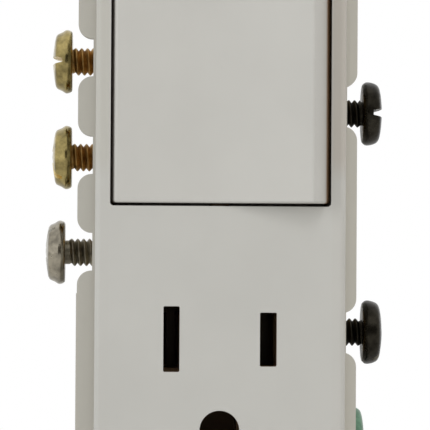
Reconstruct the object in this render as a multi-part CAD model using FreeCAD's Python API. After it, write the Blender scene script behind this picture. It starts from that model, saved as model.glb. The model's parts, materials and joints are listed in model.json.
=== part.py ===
import FreeCAD, Part
import math
import os

from FreeCAD import Vector

# Three-way rocker switch and grounded outlet on one mounting strap.
# Millimetres. The front faces -Y, +X is to the right as seen from the front and +Z is up.
# The origin is the centre of the strap's back plane, midway between the two box screws.

# Front cover: one moulding with a rectangular face and a flange down each side
FACE_SIDE_STRIP = 1.95
FACE_TOP_STRIP = 1.9
FACE_HEIGHT = 66.5
FACE_STANDOFF = 7.9
FACE_CORNER_RADIUS = 1.0
FACE_EDGE_RADIUS = 0.8
COVER_WALL = 1.6
FLANGE_THICKNESS = 1.8
LEFT_FLANGE_WIDTH = 2.4
RIGHT_FLANGE_WIDTH = 1.75
FLANGE_END_MARGIN = 1.05
FLANGE_STEP = 0.1
FLANGE_STEP_RISE = 5.95
LEFT_NOTCH_HEIGHT = 5.0
RIGHT_NOTCH_HEIGHT = 5.2
COMMON_NOTCH_RISE = 0.44
NOTCH_CORNER_RADIUS = 1.9
FLANGE_ROOT_LAND = 0.4

# Building allowances: how far a cutter runs past a surface, and how short a full round stops
OVERRUN = 1.0
ROUND_TRIM = 0.001

# Snap hooks at the cover's top
HOOK_X = 9.0
HOOK_WIDTH = 5.0
HOOK_THICKNESS = 0.9
HOOK_EDGE_MARGIN = 0.75
HOOK_BARB = 0.5
HOOK_REACH = 1.5
HOOK_CLEARANCE = 0.06
HOOK_SLOT_CLEARANCE = 0.3
HOOK_CATCH_CLEARANCE = 0.02

# Rocker and its opening
ROCKER_WIDTH = 27.7
ROCKER_HEIGHT_SHARE = 0.42632
ROCKER_SIDE_GAP = 0.65
ROCKER_END_GAP = 0.4
ROCKER_WALL = 1.4
ROCKER_EDGE_RADIUS = 0.35
ROCKER_END_RADIUS = 0.45
ROCKER_SKIRT_RISE = 1.2
ROCKER_PROUD = 0.2
ROCKER_PIVOT_DEPTH = 5.0
ROCKER_HALF_TILT = 7.5
ROCKER_BEND_RADIUS = 35.0
OPENING_LIP = 0.8
OPENING_CORNER_RADIUS = 0.5
CAVITY_CLEARANCE = 0.35
CAVITY_END_CLEARANCE = 0.2
TRUNNION_RADIUS = 1.3
TRUNNION_LENGTH = 1.3
BEARING_CLEARANCE = 0.06

# Stem, plunger and spring behind the rocker
STEM_RADIUS = 2.7
STEM_LENGTH = 7.6
STEM_END_WALL = 0.4
STEM_CLEARANCE = 1.6
STEM_WINDOW_RADIUS = 1.5
STEM_BORE_RADIUS = 1.8
PLUNGER_CLEARANCE = 0.07
PLUNGER_LENGTH = 10.4
PLUNGER_REACH = 13.18
PLUNGER_NUB_LENGTH = 1.0
SPRING_WIRE_RADIUS = 0.2
SPRING_WIRE_SIDES = 6
SPRING_TURNS = 4
SPRING_CLEARANCE = 0.15

# Seesaw contact arm
ARM_HALF_TILT = 8.0
ARM_PAST_CONTACT = 1.3
ARM_HEIGHT = 6.4
ARM_THICKNESS = 1.0
ARM_ABOVE_ROCKER_FOOT = 12.95
PLUNGER_TO_ARM_GAP = 0.15
FULCRUM_RADIUS = 0.45
FULCRUM_NECK_SHARE = 0.8
FULCRUM_CLEARANCE = 0.05
CONTACT_RADIUS = 1.4
CONTACT_THICKNESS = 0.45
FIXED_CONTACT_THICKNESS = 0.35
CONTACT_GAP = 0.06

# Blade slots and ground hole of the outlet
SLOT_SPACING = 12.7
SLOT_RISE = 18.0
LONG_SLOT_HEIGHT = 8.6
SHORT_SLOT_HEIGHT = 7.07
LONG_SLOT_WIDTH = 2.13
SHORT_SLOT_WIDTH = 2.2
SLOT_CORNER_RADIUS = 0.2
GROUND_HOLE_DROP = 11.95
GROUND_HOLE_RADIUS = 2.62
GROUND_HOLE_FLAT = 2.5
SHAFT_WALL = 1.2
BLADE_WINDOW_MARGIN = 1.5
GROUND_WINDOW_MARGIN = 0.8

# Mounting strap: sheet steel
STRAP_THICKNESS = 1.3
STRAP_INSET = 2.4
STRAP_BODY_MARGIN = 1.25
STRAP_NECK_WIDTH = 19.0
EAR_WIDTH = 27.0
EAR_HEIGHT = 9.0
EAR_CORNER_RADIUS = 3.5
EAR_SCORE_X = 9.4
EAR_SCORE_WIDTH = 0.5
EAR_SCORE_DEPTH = 0.4
TONGUE_WIDTH = 14.0
TONGUE_CORNER_RADIUS = 2.5
BOX_SCREW_SPACING = 83.34
BOX_SLOT_WIDTH = 4.0
BOX_SLOT_LENGTH = 8.0
PLATE_HOLE_BEYOND_SLOT = 6.75
PLATE_HOLE_RADIUS = 1.4
PLATE_HOLE_MARGIN = 4.78

# Ground tab, bent back from the strap
TAB_HEIGHT = 8.0
TAB_DEPTH = 10.0
TAB_BEND_RADIUS = 0.4
TAB_CLEARANCE = 0.2

# Terminal screws, alike but for finish, the taller heads on the right and how far each is backed out
SCREW_AXIS_DEPTH = 5.5
SCREW_THREAD_RADIUS = 1.78
SCREW_LENGTH = 6.35
SCREW_POINT = 0.35
HEAD_RADIUS = 4.3
HEAD_RIM = 0.8
LEFT_HEAD_HEIGHT = 2.7
RIGHT_HEAD_HEIGHT = 2.75
HEAD_BULGE = 0.12
CROWN_HEIGHT_SHARE = 0.84
CROWN_RADIUS_SHARE = 0.84
DOME_HEIGHT_SHARE = 0.96
DRIVE_SLOT_WIDTH = 1.0
DRIVE_SLOT_DEPTH = 1.25
CROSS_LENGTH = 4.2
THREAD_CLEARANCE = 0.06

# Where each screw is along the device, from the arm, the next screw or the blade slots
UPPER_TRAVELLER_ABOVE_ARM = 6.4
LOWER_TRAVELLER_BELOW_ARM = 6.55
NEUTRAL_BELOW_TRAVELLER = 12.8
COMMON_BELOW_ARM = 0.36
HOT_RISE = 0.9
GROUND_SCREW_DROP = 13.4

# How far each head's underside stands off its terminal plate
UPPER_TRAVELLER_OUT = 3.87
LOWER_TRAVELLER_OUT = 3.87
NEUTRAL_OUT = 4.68
COMMON_OUT = 3.5
HOT_OUT = 3.6
GROUND_OUT = 1.25

# How far each screw's drive slot is turned from the front-to-back direction, in degrees
UPPER_TRAVELLER_TURN = 0
LOWER_TRAVELLER_TURN = -45
NEUTRAL_TURN = 53
COMMON_TURN = 0
HOT_TURN = 60
GROUND_TURN = 28

# Stampings: flat brass strip with a terminal plate bent up at each screw
STRIP_THICKNESS = 1.0
STRIP_WIDTH = 3.2
FIXED_PAD_MARGIN = 0.4
RISER_GAP = 1.4
RISER_MARGIN = 1.3
UPPER_RUN_DROP = 0.35
TERMINAL_PLATE_HEIGHT = 8.0
TERMINAL_PLATE_FRONT = 1.0
LINK_FRONT = 8.0
LINK_BACK = 11.0
LINK_SLOT_WIDTH = 0.9
LINK_SLOT_LENGTH = 3.4
JAW_THICKNESS = 0.6
JAW_PINCH = 1.2
JAW_MOUTH = 3.4
JAW_BASE = 4.4
JAW_HEIGHT = 7.0
JAW_FRONT = 1.9

# Ground contact
SLEEVE_WIDTH = 4.9
SLEEVE_THICKNESS = 0.7
SLEEVE_BEND_RADIUS = 0.6
SLEEVE_DEPTH = 9.5
SLEEVE_END_GAP = 0.5
SLEEVE_ARM = 3.0
FLANGE_PLATE = 0.8
RIVET_RADIUS = 1.1
RIVET_HEAD_RADIUS = 1.8
RIVET_HEAD_HEIGHT = 0.7
GROUND_RIVET_RISE = 5.85

# Rear housing
HOUSING_DEPTH = 24.0
HOUSING_INSET = 0.05
TERMINAL_RECESS = 1.5
HOUSING_SHOULDER = 11.0
HOUSING_EDGE_RADIUS = 1.6
HOUSING_BACK_SHARE = 0.9
SHELF_BACK = 0.8
SEAT_GAP = 0.3
RIM_CLEARANCE = 0.15
CHANNEL_CLEARANCE = 0.2
WELL_CLEARANCE = 0.22
WELL_DEPTH = 5.4
ARM_END_CLEARANCE = 0.5
POCKET_CLEARANCE = 0.45
BACK_RECESS_DEPTH = 0.8
BACK_RECESS_MARGIN = 4.0
BACK_RECESS_RADIUS = 2.0
BACK_RIB_WIDTH = 1.6

# Inner separator
SEPARATOR_THICKNESS = 0.8
SEPARATOR_MARGIN = 1.6
SEPARATOR_CLEARANCE = 0.1
SEPARATOR_SLOT_MARGIN = 0.3

# Assembly screws, from the back into the cover
ASSEMBLY_UPPER_INSET = 2.7
ASSEMBLY_UPPER_DROP = 2.2
ASSEMBLY_LOWER_X = 6.9
ASSEMBLY_LOWER_DROP = 14.65
ASSEMBLY_RADIUS = 1.25
ASSEMBLY_HEAD_RADIUS = 2.4
ASSEMBLY_HEAD_HEIGHT = 1.8
ASSEMBLY_HEAD_CHAMFER = 0.6
ASSEMBLY_DRIVE_LENGTH = 3.0
ASSEMBLY_DRIVE_WIDTH = 0.7
ASSEMBLY_BORE_DEPTH = 7.0
ASSEMBLY_REACH = 3.4
ASSEMBLY_CLEARANCE = 0.25
BOSS_WALL = 0.85

# Worked out from the sizes above
OPENING_HALF_WIDTH = ROCKER_WIDTH / 2 + ROCKER_SIDE_GAP
FACE_HALF_WIDTH = OPENING_HALF_WIDTH + FACE_SIDE_STRIP
FACE_HALF_HEIGHT = FACE_HEIGHT / 2
FACE_Y = -FACE_STANDOFF
HOUSING_HALF_WIDTH = FACE_HALF_WIDTH - HOUSING_INSET
HOUSING_HALF_HEIGHT = FACE_HALF_HEIGHT - HOUSING_INSET
HOUSING_SIDE_WALL_X = HOUSING_HALF_WIDTH - TERMINAL_RECESS
STRAP_FRONT = -STRAP_THICKNESS
STRAP_HALF_WIDTH = HOUSING_HALF_WIDTH - STRAP_INSET
STRAP_BODY_END = FACE_HALF_HEIGHT + STRAP_BODY_MARGIN
BOX_SLOT_Z = BOX_SCREW_SPACING / 2
PLATE_HOLE_Z = BOX_SLOT_Z + PLATE_HOLE_BEYOND_SLOT
STRAP_END = PLATE_HOLE_Z + PLATE_HOLE_MARGIN
PIVOT_Y = FACE_Y + ROCKER_PIVOT_DEPTH
ROCKER_SURFACE = ROCKER_PIVOT_DEPTH + ROCKER_PROUD
ROCKER_TURN_RADIUS = math.hypot(ROCKER_WIDTH / 2, ROCKER_SURFACE)
ROCKER_HEIGHT = ROCKER_HEIGHT_SHARE * FACE_HEIGHT
OPENING_TOP = FACE_HALF_HEIGHT - FACE_TOP_STRIP
ROCKER_TOP = OPENING_TOP - ROCKER_END_GAP
ROCKER_BOTTOM = ROCKER_TOP - ROCKER_HEIGHT
OPENING_BOTTOM = ROCKER_BOTTOM - ROCKER_END_GAP
ARM_Z = ROCKER_BOTTOM + ARM_ABOVE_ROCKER_FOOT
SLOT_CENTRE_Z = SLOT_RISE - FACE_HALF_HEIGHT
FLANGE_STEP_Z = SLOT_CENTRE_Z + FLANGE_STEP_RISE
UPPER_TRAVELLER_Z = ARM_Z + UPPER_TRAVELLER_ABOVE_ARM
LOWER_TRAVELLER_Z = ARM_Z - LOWER_TRAVELLER_BELOW_ARM
NEUTRAL_Z = LOWER_TRAVELLER_Z - NEUTRAL_BELOW_TRAVELLER
COMMON_Z = ARM_Z - COMMON_BELOW_ARM
HOT_Z = SLOT_CENTRE_Z + HOT_RISE
GROUND_SCREW_Z = SLOT_CENTRE_Z - GROUND_SCREW_DROP
REST = Vector(0, PIVOT_Y, 0), Vector(0, 0, 1), -ROCKER_HALF_TILT
FULCRUM_Y = PIVOT_Y + PLUNGER_REACH + PLUNGER_TO_ARM_GAP + (
    ARM_THICKNESS / math.cos(math.radians(ARM_HALF_TILT)))
HOOK_Z = FACE_HALF_HEIGHT - HOOK_EDGE_MARGIN
CHANNEL_HEIGHT = 2 * (HEAD_RADIUS + CHANNEL_CLEARANCE)
WELL_RADIUS = SCREW_THREAD_RADIUS + WELL_CLEARANCE
STRIP_DEPTH = FULCRUM_Y + CONTACT_THICKNESS + CONTACT_GAP + FIXED_CONTACT_THICKNESS
STRIP_BACK = STRIP_DEPTH + STRIP_THICKNESS
PLATE_OUTER_X = HOUSING_SIDE_WALL_X + STRIP_THICKNESS
FIXED_PAD_HALF = CONTACT_RADIUS + FIXED_PAD_MARGIN
RISER_X = HOUSING_SIDE_WALL_X - RISER_MARGIN - STRIP_WIDTH
CONTACT_OFFSET = RISER_X - RISER_GAP - FIXED_PAD_HALF
ARM_HALF_LENGTH = CONTACT_OFFSET + ARM_PAST_CONTACT
UPPER_RUN_Z = UPPER_TRAVELLER_Z - UPPER_RUN_DROP
SLOT_X = SLOT_SPACING / 2
GROUND_Z = SLOT_CENTRE_Z - GROUND_HOLE_DROP
GROUND_RIVET_Z = GROUND_Z + GROUND_RIVET_RISE
ASSEMBLY_UPPER_X = HOUSING_SIDE_WALL_X - ASSEMBLY_UPPER_INSET
ASSEMBLY_UPPER_Z = OPENING_BOTTOM - ASSEMBLY_UPPER_DROP
ASSEMBLY_LOWER_Z = SLOT_CENTRE_Z - ASSEMBLY_LOWER_DROP
ASSEMBLY_PLACES = [
    (side * x, z)
    for x, z in ((ASSEMBLY_UPPER_X, ASSEMBLY_UPPER_Z), (ASSEMBLY_LOWER_X, ASSEMBLY_LOWER_Z))
    for side in (-1, 1)
]
LEFT_TERMINALS = (UPPER_TRAVELLER_Z, LOWER_TRAVELLER_Z, NEUTRAL_Z)
RIGHT_TERMINALS = (COMMON_Z, HOT_Z)
RIGHT_NOTCHES = (COMMON_Z + COMMON_NOTCH_RISE, HOT_Z)
BLADE_SLOTS = (
    (-1, LONG_SLOT_WIDTH, LONG_SLOT_HEIGHT),
    (1, SHORT_SLOT_WIDTH, SHORT_SLOT_HEIGHT),
)
X_AXIS = Vector(1, 0, 0)
Y_AXIS = Vector(0, 1, 0)
Z_AXIS = Vector(0, 0, 1)


def box(x0, x1, y0, y1, z0, z1):
    """A block between two corners, given in either order along X."""
    left, right = min(x0, x1), max(x0, x1)
    return Part.makeBox(right - left, y1 - y0, z1 - z0, Vector(left, y0, z0))


def rod_x(radius, x0, x1, y, z):
    left, right = min(x0, x1), max(x0, x1)
    return Part.makeCylinder(radius, right - left, Vector(left, y, z), X_AXIS)


def rod_y(radius, y0, y1, x, z):
    return Part.makeCylinder(radius, y1 - y0, Vector(x, y0, z), Y_AXIS)


def rod_z(radius, z0, z1, x, y):
    return Part.makeCylinder(radius, z1 - z0, Vector(x, y, z0), Z_AXIS)


def joined(shapes):
    """One shape from several that touch, with the seams between flat faces removed."""
    first, *rest = shapes
    return first.multiFuse(rest).removeSplitter() if rest else first


def edges_along(shape, axis):
    """The straight edges of a shape that run along one axis."""
    found = []
    for edge in shape.Edges:
        if isinstance(edge.Curve, Part.Line) and abs(edge.Curve.Direction.dot(axis)) > 0.999:
            found.append(edge)
    return found


def edges_at(shape, axis, place):
    """The edges that lie wholly in the plane at one place along an axis."""
    found = []
    for edge in shape.Edges:
        ends = edge.BoundBox
        low = Vector(ends.XMin, ends.YMin, ends.ZMin).dot(axis)
        high = Vector(ends.XMax, ends.YMax, ends.ZMax).dot(axis)
        if abs(low - place) < 0.001 and abs(high - place) < 0.001:
            found.append(edge)
    return found


def rounded_plate(x0, x1, z0, z1, radius, y0, y1):
    """A block whose four edges along Y are rounded."""
    plate = box(x0, x1, y0, y1, z0, z1)
    return plate.makeFillet(radius, edges_along(plate, Y_AXIS))


def long_hole(length, width, x, z, y0, y1):
    """A cutter for a hole with round ends, long across the strap."""
    return rounded_plate(x - length / 2, x + length / 2, z - width / 2, z + width / 2,
                         width / 2 - ROUND_TRIM, y0, y1)


def side_offset(points, distance):
    """The open path moved sideways by a distance, with mitred corners."""
    normals = []
    for start, end in zip(points, points[1:]):
        along = (end - start).normalize()
        normals.append(Vector(-along.y, along.x, 0))
    moved = [points[0] + normals[0] * distance]
    for point, before, after in zip(points[1:], normals, normals[1:]):
        mitre = (before + after).normalize()
        moved.append(point + mitre * (distance / mitre.dot(before)))
    return moved + [points[-1] + normals[-1] * distance]


def bent_strip(points, thickness, z0, z1):
    """Sheet of one thickness bent along a path in the XY plane, on the path's left side."""
    path = [Vector(x, y, z0) for x, y in points]
    outline = path + list(reversed(side_offset(path, thickness)))
    face = Part.Face(Part.makePolygon(outline + [outline[0]]))
    return face.extrude(Vector(0, 0, z1 - z0))


def blade_slot(side, width, height, margin, y0, y1):
    """A block the size of a blade slot, larger all round by a margin."""
    x = side * SLOT_X
    return rounded_plate(x - width / 2 - margin, x + width / 2 + margin,
                         SLOT_CENTRE_Z - height / 2 - margin, SLOT_CENTRE_Z + height / 2 + margin,
                         SLOT_CORNER_RADIUS, y0, y1)


def ground_hole(margin, y0, y1):
    """The ground pin's hole: round above and flat below."""
    radius = GROUND_HOLE_RADIUS + margin
    floor = GROUND_Z - GROUND_HOLE_FLAT - margin
    below = box(-radius, radius, y0, y1, floor, GROUND_Z)
    return joined([rod_y(radius, y0, y1, 0, GROUND_Z), below]).cut(
        box(-2 * radius, 2 * radius, y0, y1, floor - 2 * radius, floor))


def stem_window(y0, y1):
    """The window that the rocker's stem swings in."""
    half = STEM_RADIUS + STEM_CLEARANCE
    return rounded_plate(-half, half, ARM_Z - half, ARM_Z + half, STEM_WINDOW_RADIUS, y0, y1)


def flange(side, width):
    """One side flange of the cover: wings between the terminal screws, on a narrow land."""
    root = FACE_HALF_WIDTH - COVER_WALL
    tip = FACE_HALF_WIDTH + width
    y0 = STRAP_FRONT - FLANGE_THICKNESS
    half = FACE_HALF_HEIGHT - FLANGE_END_MARGIN
    plate = box(side * root, side * tip, y0, STRAP_FRONT, -half, half)
    if side < 0:
        plate = plate.fuse(box(-root, -tip - FLANGE_STEP, y0, STRAP_FRONT, -half, FLANGE_STEP_Z))
    centres = LEFT_TERMINALS if side < 0 else RIGHT_NOTCHES
    half_notch = (LEFT_NOTCH_HEIGHT if side < 0 else RIGHT_NOTCH_HEIGHT) / 2
    notches = [
        box(side * (root - OVERRUN), side * (tip + OVERRUN), y0, STRAP_FRONT, z - half_notch, z + half_notch)
        for z in centres
    ]
    pieces = [
        box(side * root, side * (FACE_HALF_WIDTH + FLANGE_ROOT_LAND), y0, STRAP_FRONT, -half, half)
    ]
    for wing in plate.cut(notches).removeSplitter().Solids:
        corners = [
            edge for edge in edges_along(wing, Y_AXIS)
            if abs(edge.CenterOfMass.x) > FACE_HALF_WIDTH + width / 2
            and abs(edge.CenterOfMass.z - FLANGE_STEP_Z) > FLANGE_STEP
        ]
        pieces.append(wing.makeFillet(NOTCH_CORNER_RADIUS, corners))
    return joined(pieces)


def trunnion_bearing(z0, z1, radius):
    """A cutter for a bearing that is round in front and open to the strap."""
    round_end = rod_z(radius, z0, z1, 0, PIVOT_Y)
    return joined([round_end, box(-radius, radius, PIVOT_Y, STRAP_FRONT, z0, z1)])


def hook(side):
    """A snap hook at the top of the cover that catches behind the strap."""
    centre = side * HOOK_X
    half = HOOK_WIDTH / 2
    stem = box(centre - half, centre + half, STRAP_FRONT - OVERRUN, HOOK_REACH,
               HOOK_Z - HOOK_THICKNESS, HOOK_Z)
    barb = Part.Face(Part.makePolygon([
        Vector(centre - half, HOOK_CLEARANCE, HOOK_Z),
        Vector(centre - half, HOOK_CLEARANCE, HOOK_Z + HOOK_BARB),
        Vector(centre - half, HOOK_REACH, HOOK_Z),
        Vector(centre - half, HOOK_CLEARANCE, HOOK_Z),
    ])).extrude(Vector(HOOK_WIDTH, 0, 0))
    return joined([stem, barb])


def front_cover():
    block = rounded_plate(-FACE_HALF_WIDTH, FACE_HALF_WIDTH, -FACE_HALF_HEIGHT, FACE_HALF_HEIGHT,
                          FACE_CORNER_RADIUS, FACE_Y, STRAP_FRONT)
    block = block.makeFillet(FACE_EDGE_RADIUS, edges_at(block, Y_AXIS, FACE_Y))
    body = joined([block, flange(-1, LEFT_FLANGE_WIDTH), flange(1, RIGHT_FLANGE_WIDTH)])

    cavity_half_width = ROCKER_TURN_RADIUS + CAVITY_CLEARANCE
    rocker_floor = OPENING_BOTTOM - CAVITY_END_CLEARANCE
    rocker_cavity = box(-cavity_half_width, cavity_half_width, FACE_Y + OPENING_LIP, STRAP_FRONT,
                        rocker_floor, OPENING_TOP + CAVITY_END_CLEARANCE)
    opening = rounded_plate(-OPENING_HALF_WIDTH, OPENING_HALF_WIDTH, OPENING_BOTTOM, OPENING_TOP,
                            OPENING_CORNER_RADIUS, FACE_Y - OVERRUN, FACE_Y + 2 * OPENING_LIP)
    outlet_cavity = box(-FACE_HALF_WIDTH + COVER_WALL, FACE_HALF_WIDTH - COVER_WALL,
                        FACE_Y + COVER_WALL, STRAP_FRONT,
                        -FACE_HALF_HEIGHT + COVER_WALL, rocker_floor - COVER_WALL)
    kept = [ground_hole(SHAFT_WALL, FACE_Y + COVER_WALL, STRAP_FRONT)]
    slots = [ground_hole(0, FACE_Y, STRAP_FRONT)]
    for side, width, height in BLADE_SLOTS:
        kept.append(blade_slot(side, width, height, SHAFT_WALL, FACE_Y + COVER_WALL, STRAP_FRONT))
        slots.append(blade_slot(side, width, height, 0, FACE_Y, STRAP_FRONT))
    for x, z in ASSEMBLY_PLACES:
        kept.append(rod_y(ASSEMBLY_RADIUS + BOSS_WALL, FACE_Y + COVER_WALL, STRAP_FRONT, x, z))
    outlet_cavity = outlet_cavity.cut(kept)
    pilots = [
        rod_y(ASSEMBLY_RADIUS, STRAP_FRONT - ASSEMBLY_REACH, STRAP_FRONT, x, z)
        for x, z in ASSEMBLY_PLACES
    ]
    bearing = TRUNNION_LENGTH + ROCKER_END_GAP
    bearings = [
        trunnion_bearing(ROCKER_TOP, ROCKER_TOP + bearing, TRUNNION_RADIUS + BEARING_CLEARANCE),
        trunnion_bearing(ROCKER_BOTTOM - bearing, ROCKER_BOTTOM, TRUNNION_RADIUS + BEARING_CLEARANCE),
    ]
    body = body.cut([rocker_cavity, opening, outlet_cavity] + slots + pilots + bearings)
    return joined([body, hook(-1), hook(1)])


def rocker_profile(surface, radius, skirt):
    """The rocker's section in the XY plane, about the pivot, before it is tipped."""
    tilt = math.radians(ROCKER_HALF_TILT)
    bend = ROCKER_BEND_RADIUS
    valley = surface / math.cos(tilt)
    normal = Vector(-math.sin(tilt), -math.cos(tilt), 0)
    along = Vector(math.cos(tilt), -math.sin(tilt), 0)
    end = math.sqrt(radius ** 2 - surface ** 2)
    bend_start = normal * surface + along * ((surface + bend) * math.tan(tilt))
    corner = normal * surface + along * end
    bend_top = Vector(0, -valley - bend * (1 / math.cos(tilt) - 1), 0)
    skirt_side = Vector(math.sqrt(radius ** 2 - skirt ** 2), skirt, 0)
    half_way = (corner + skirt_side).normalize() * radius

    def mirrored(point):
        return Vector(-point.x, point.y, point.z)

    pieces = [
        Part.Arc(mirrored(bend_start), bend_top, bend_start).toShape(),
        Part.LineSegment(bend_start, corner).toShape(),
        Part.Arc(corner, half_way, skirt_side).toShape(),
        Part.LineSegment(skirt_side, mirrored(skirt_side)).toShape(),
        Part.Arc(mirrored(skirt_side), mirrored(half_way), mirrored(corner)).toShape(),
        Part.LineSegment(mirrored(corner), mirrored(bend_start)).toShape(),
    ]
    wire = Part.Wire(pieces)
    wire.translate(Vector(0, PIVOT_Y, 0))
    return Part.Face(wire)


def tipped(shape):
    """A piece that rides on the rocker, turned from the middle to the rest position."""
    turned = shape.copy()
    turned.rotate(*REST)
    return turned


def rocker():
    skirt = -ROCKER_SKIRT_RISE
    outer = rocker_profile(ROCKER_SURFACE, ROCKER_TURN_RADIUS, skirt)
    outer.translate(Vector(0, 0, ROCKER_BOTTOM))
    body = outer.extrude(Vector(0, 0, ROCKER_HEIGHT))
    ends = [
        edge for edge in edges_along(body, Z_AXIS)
        if abs(edge.CenterOfMass.x) > ROCKER_WIDTH / 3 and edge.CenterOfMass.y < PIVOT_Y + 2 * skirt
    ]
    body = body.makeFillet(ROCKER_END_RADIUS, ends)
    rims = [
        edge for edge in body.Edges
        if edge.BoundBox.YMax < PIVOT_Y + 2 * skirt and edge.BoundBox.ZLength < 0.001
    ]
    body = body.makeFillet(ROCKER_EDGE_RADIUS, rims)
    inner = rocker_profile(ROCKER_SURFACE - ROCKER_WALL, ROCKER_TURN_RADIUS - ROCKER_WALL, skirt)
    inner.translate(Vector(0, 0, ROCKER_BOTTOM + ROCKER_WALL))
    hollow = inner.extrude(Vector(0, 0, ROCKER_HEIGHT - 2 * ROCKER_WALL))
    body = body.cut(hollow)

    trunnions = [
        rod_z(TRUNNION_RADIUS, ROCKER_TOP - ROCKER_WALL, ROCKER_TOP + TRUNNION_LENGTH, 0, PIVOT_Y),
        rod_z(TRUNNION_RADIUS, ROCKER_BOTTOM - TRUNNION_LENGTH, ROCKER_BOTTOM + ROCKER_WALL, 0, PIVOT_Y),
    ]
    stem_front = PIVOT_Y - ROCKER_SURFACE + ROCKER_WALL / 2
    stem_back = PIVOT_Y + STEM_LENGTH
    stem = rod_y(STEM_RADIUS, stem_front, stem_back, 0, ARM_Z)
    web = ROCKER_WALL / 2
    webs = [
        box(-web, web, stem_front, PIVOT_Y, ROCKER_BOTTOM + web, ROCKER_TOP - web),
        box(-ROCKER_WIDTH / 2 + ROCKER_WALL, ROCKER_WIDTH / 2 - ROCKER_WALL,
            stem_front, PIVOT_Y - ROCKER_SURFACE / 2, ARM_Z - web, ARM_Z + web),
    ]
    bore = rod_y(STEM_BORE_RADIUS, spring_front(), stem_back, 0, ARM_Z)
    body = joined([body] + trunnions + [stem] + webs).cut(bore)
    return tipped(body)


def spring_front():
    """The closed end of the stem's bore."""
    return PIVOT_Y - ROCKER_SURFACE + ROCKER_WALL + STEM_END_WALL


def plunger():
    radius = STEM_BORE_RADIUS - PLUNGER_CLEARANCE
    tip = PIVOT_Y + PLUNGER_REACH
    back = tip - radius
    body = rod_y(radius, tip - PLUNGER_LENGTH, back, 0, ARM_Z)
    dome = Part.makeSphere(radius, Vector(0, back, ARM_Z))
    body = joined([body, dome])
    nub = rod_y(radius - 3 * SPRING_CLEARANCE - 2 * SPRING_WIRE_RADIUS,
                tip - PLUNGER_LENGTH - PLUNGER_NUB_LENGTH, tip - PLUNGER_LENGTH, 0, ARM_Z)
    return tipped(joined([body, nub]))


def plunger_spring():
    radius = STEM_BORE_RADIUS - SPRING_CLEARANCE - SPRING_WIRE_RADIUS
    front = spring_front() + SPRING_WIRE_RADIUS
    back = PIVOT_Y + PLUNGER_REACH - PLUNGER_LENGTH - SPRING_WIRE_RADIUS
    length = back - front
    path = Part.makeHelix(length / SPRING_TURNS, length, radius)
    corners = []
    for corner in range(SPRING_WIRE_SIDES + 1):
        turn = math.radians(360 / SPRING_WIRE_SIDES * corner)
        corners.append(Vector(radius + SPRING_WIRE_RADIUS * math.cos(turn), 0,
                              SPRING_WIRE_RADIUS * math.sin(turn)))
    section = Part.makePolygon(corners)
    coil = Part.Wire(path.Edges).makePipeShell([section], True, True)
    coil.rotate(Vector(0, 0, 0), X_AXIS, -90)
    coil.translate(Vector(0, front, ARM_Z))
    return tipped(coil)


def arm_tipped(shape):
    """A piece of the seesaw, turned about the fulcrum from the middle to the rest position."""
    turned = shape.copy()
    turned.rotate(Vector(0, FULCRUM_Y, 0), Z_AXIS, ARM_HALF_TILT)
    return turned


def arm_button_place(side):
    """The centre of an arm contact's seat on the arm's back, and the way it faces."""
    tilt = math.radians(ARM_HALF_TILT)
    outward = Vector(side * math.cos(tilt), -math.sin(tilt), 0)
    backward = Vector(side * math.sin(tilt), math.cos(tilt), 0)
    return Vector(0, FULCRUM_Y, ARM_Z) + outward * CONTACT_OFFSET, backward


def contact_arm():
    tilt = math.radians(ARM_HALF_TILT)
    reach = ARM_HALF_LENGTH * math.cos(tilt)
    rise = ARM_HALF_LENGTH * math.sin(tilt)
    back_path = [(reach, FULCRUM_Y - rise), (0, FULCRUM_Y), (-reach, FULCRUM_Y - rise)]
    z0 = ARM_Z - ARM_HEIGHT / 2
    z1 = ARM_Z + ARM_HEIGHT / 2
    arm = bent_strip(list(reversed(back_path)), -ARM_THICKNESS, z0, z1)
    groove = rod_z(FULCRUM_RADIUS + FULCRUM_CLEARANCE, z0, z1, 0, FULCRUM_Y)
    return arm_tipped(arm.cut(groove))


def arm_button(side):
    seat, backward = arm_button_place(side)
    return arm_tipped(Part.makeCylinder(CONTACT_RADIUS, CONTACT_THICKNESS, seat, backward))


def fixed_button(side):
    """A contact button on a traveller's strip, just clear of the arm's closed contact."""
    front = STRIP_DEPTH - FIXED_CONTACT_THICKNESS
    return rod_y(CONTACT_RADIUS, front, STRIP_DEPTH, side * CONTACT_OFFSET, ARM_Z)


def terminal_plate(side, z):
    """The upright plate that a terminal screw clamps its wire against, with its thread hole."""
    half = TERMINAL_PLATE_HEIGHT / 2
    plate = box(side * HOUSING_SIDE_WALL_X, side * PLATE_OUTER_X, TERMINAL_PLATE_FRONT, STRIP_BACK,
                z - half, z + half)
    return plate.cut(thread_hole(side, z))


def thread_hole(side, z):
    return rod_x(SCREW_THREAD_RADIUS + THREAD_CLEARANCE, side * (HOUSING_SIDE_WALL_X - OVERRUN),
                 side * (PLATE_OUTER_X + OVERRUN), SCREW_AXIS_DEPTH, z)


def strip(x0, x1, z0, z1, front=STRIP_DEPTH):
    """A flat run of stamping in the strip plane, or its channel when front is nearer the face."""
    return box(x0, x1, front, STRIP_BACK, z0, z1)


def upper_traveller_runs(front):
    z = UPPER_RUN_Z
    half = STRIP_WIDTH / 2
    edge = -CONTACT_OFFSET
    return [
        strip(-PLATE_OUTER_X, edge + FIXED_PAD_HALF, z - half, z + half, front),
        strip(edge - FIXED_PAD_HALF, edge + FIXED_PAD_HALF, ARM_Z - FIXED_PAD_HALF, z, front),
    ]


def lower_traveller_runs(front):
    z = LOWER_TRAVELLER_Z
    half = STRIP_WIDTH / 2
    edge = CONTACT_OFFSET
    return [
        strip(-PLATE_OUTER_X, edge + FIXED_PAD_HALF, z - half, z + half, front),
        strip(edge - FIXED_PAD_HALF, edge + FIXED_PAD_HALF, z, ARM_Z + FIXED_PAD_HALF, front),
    ]


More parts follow.
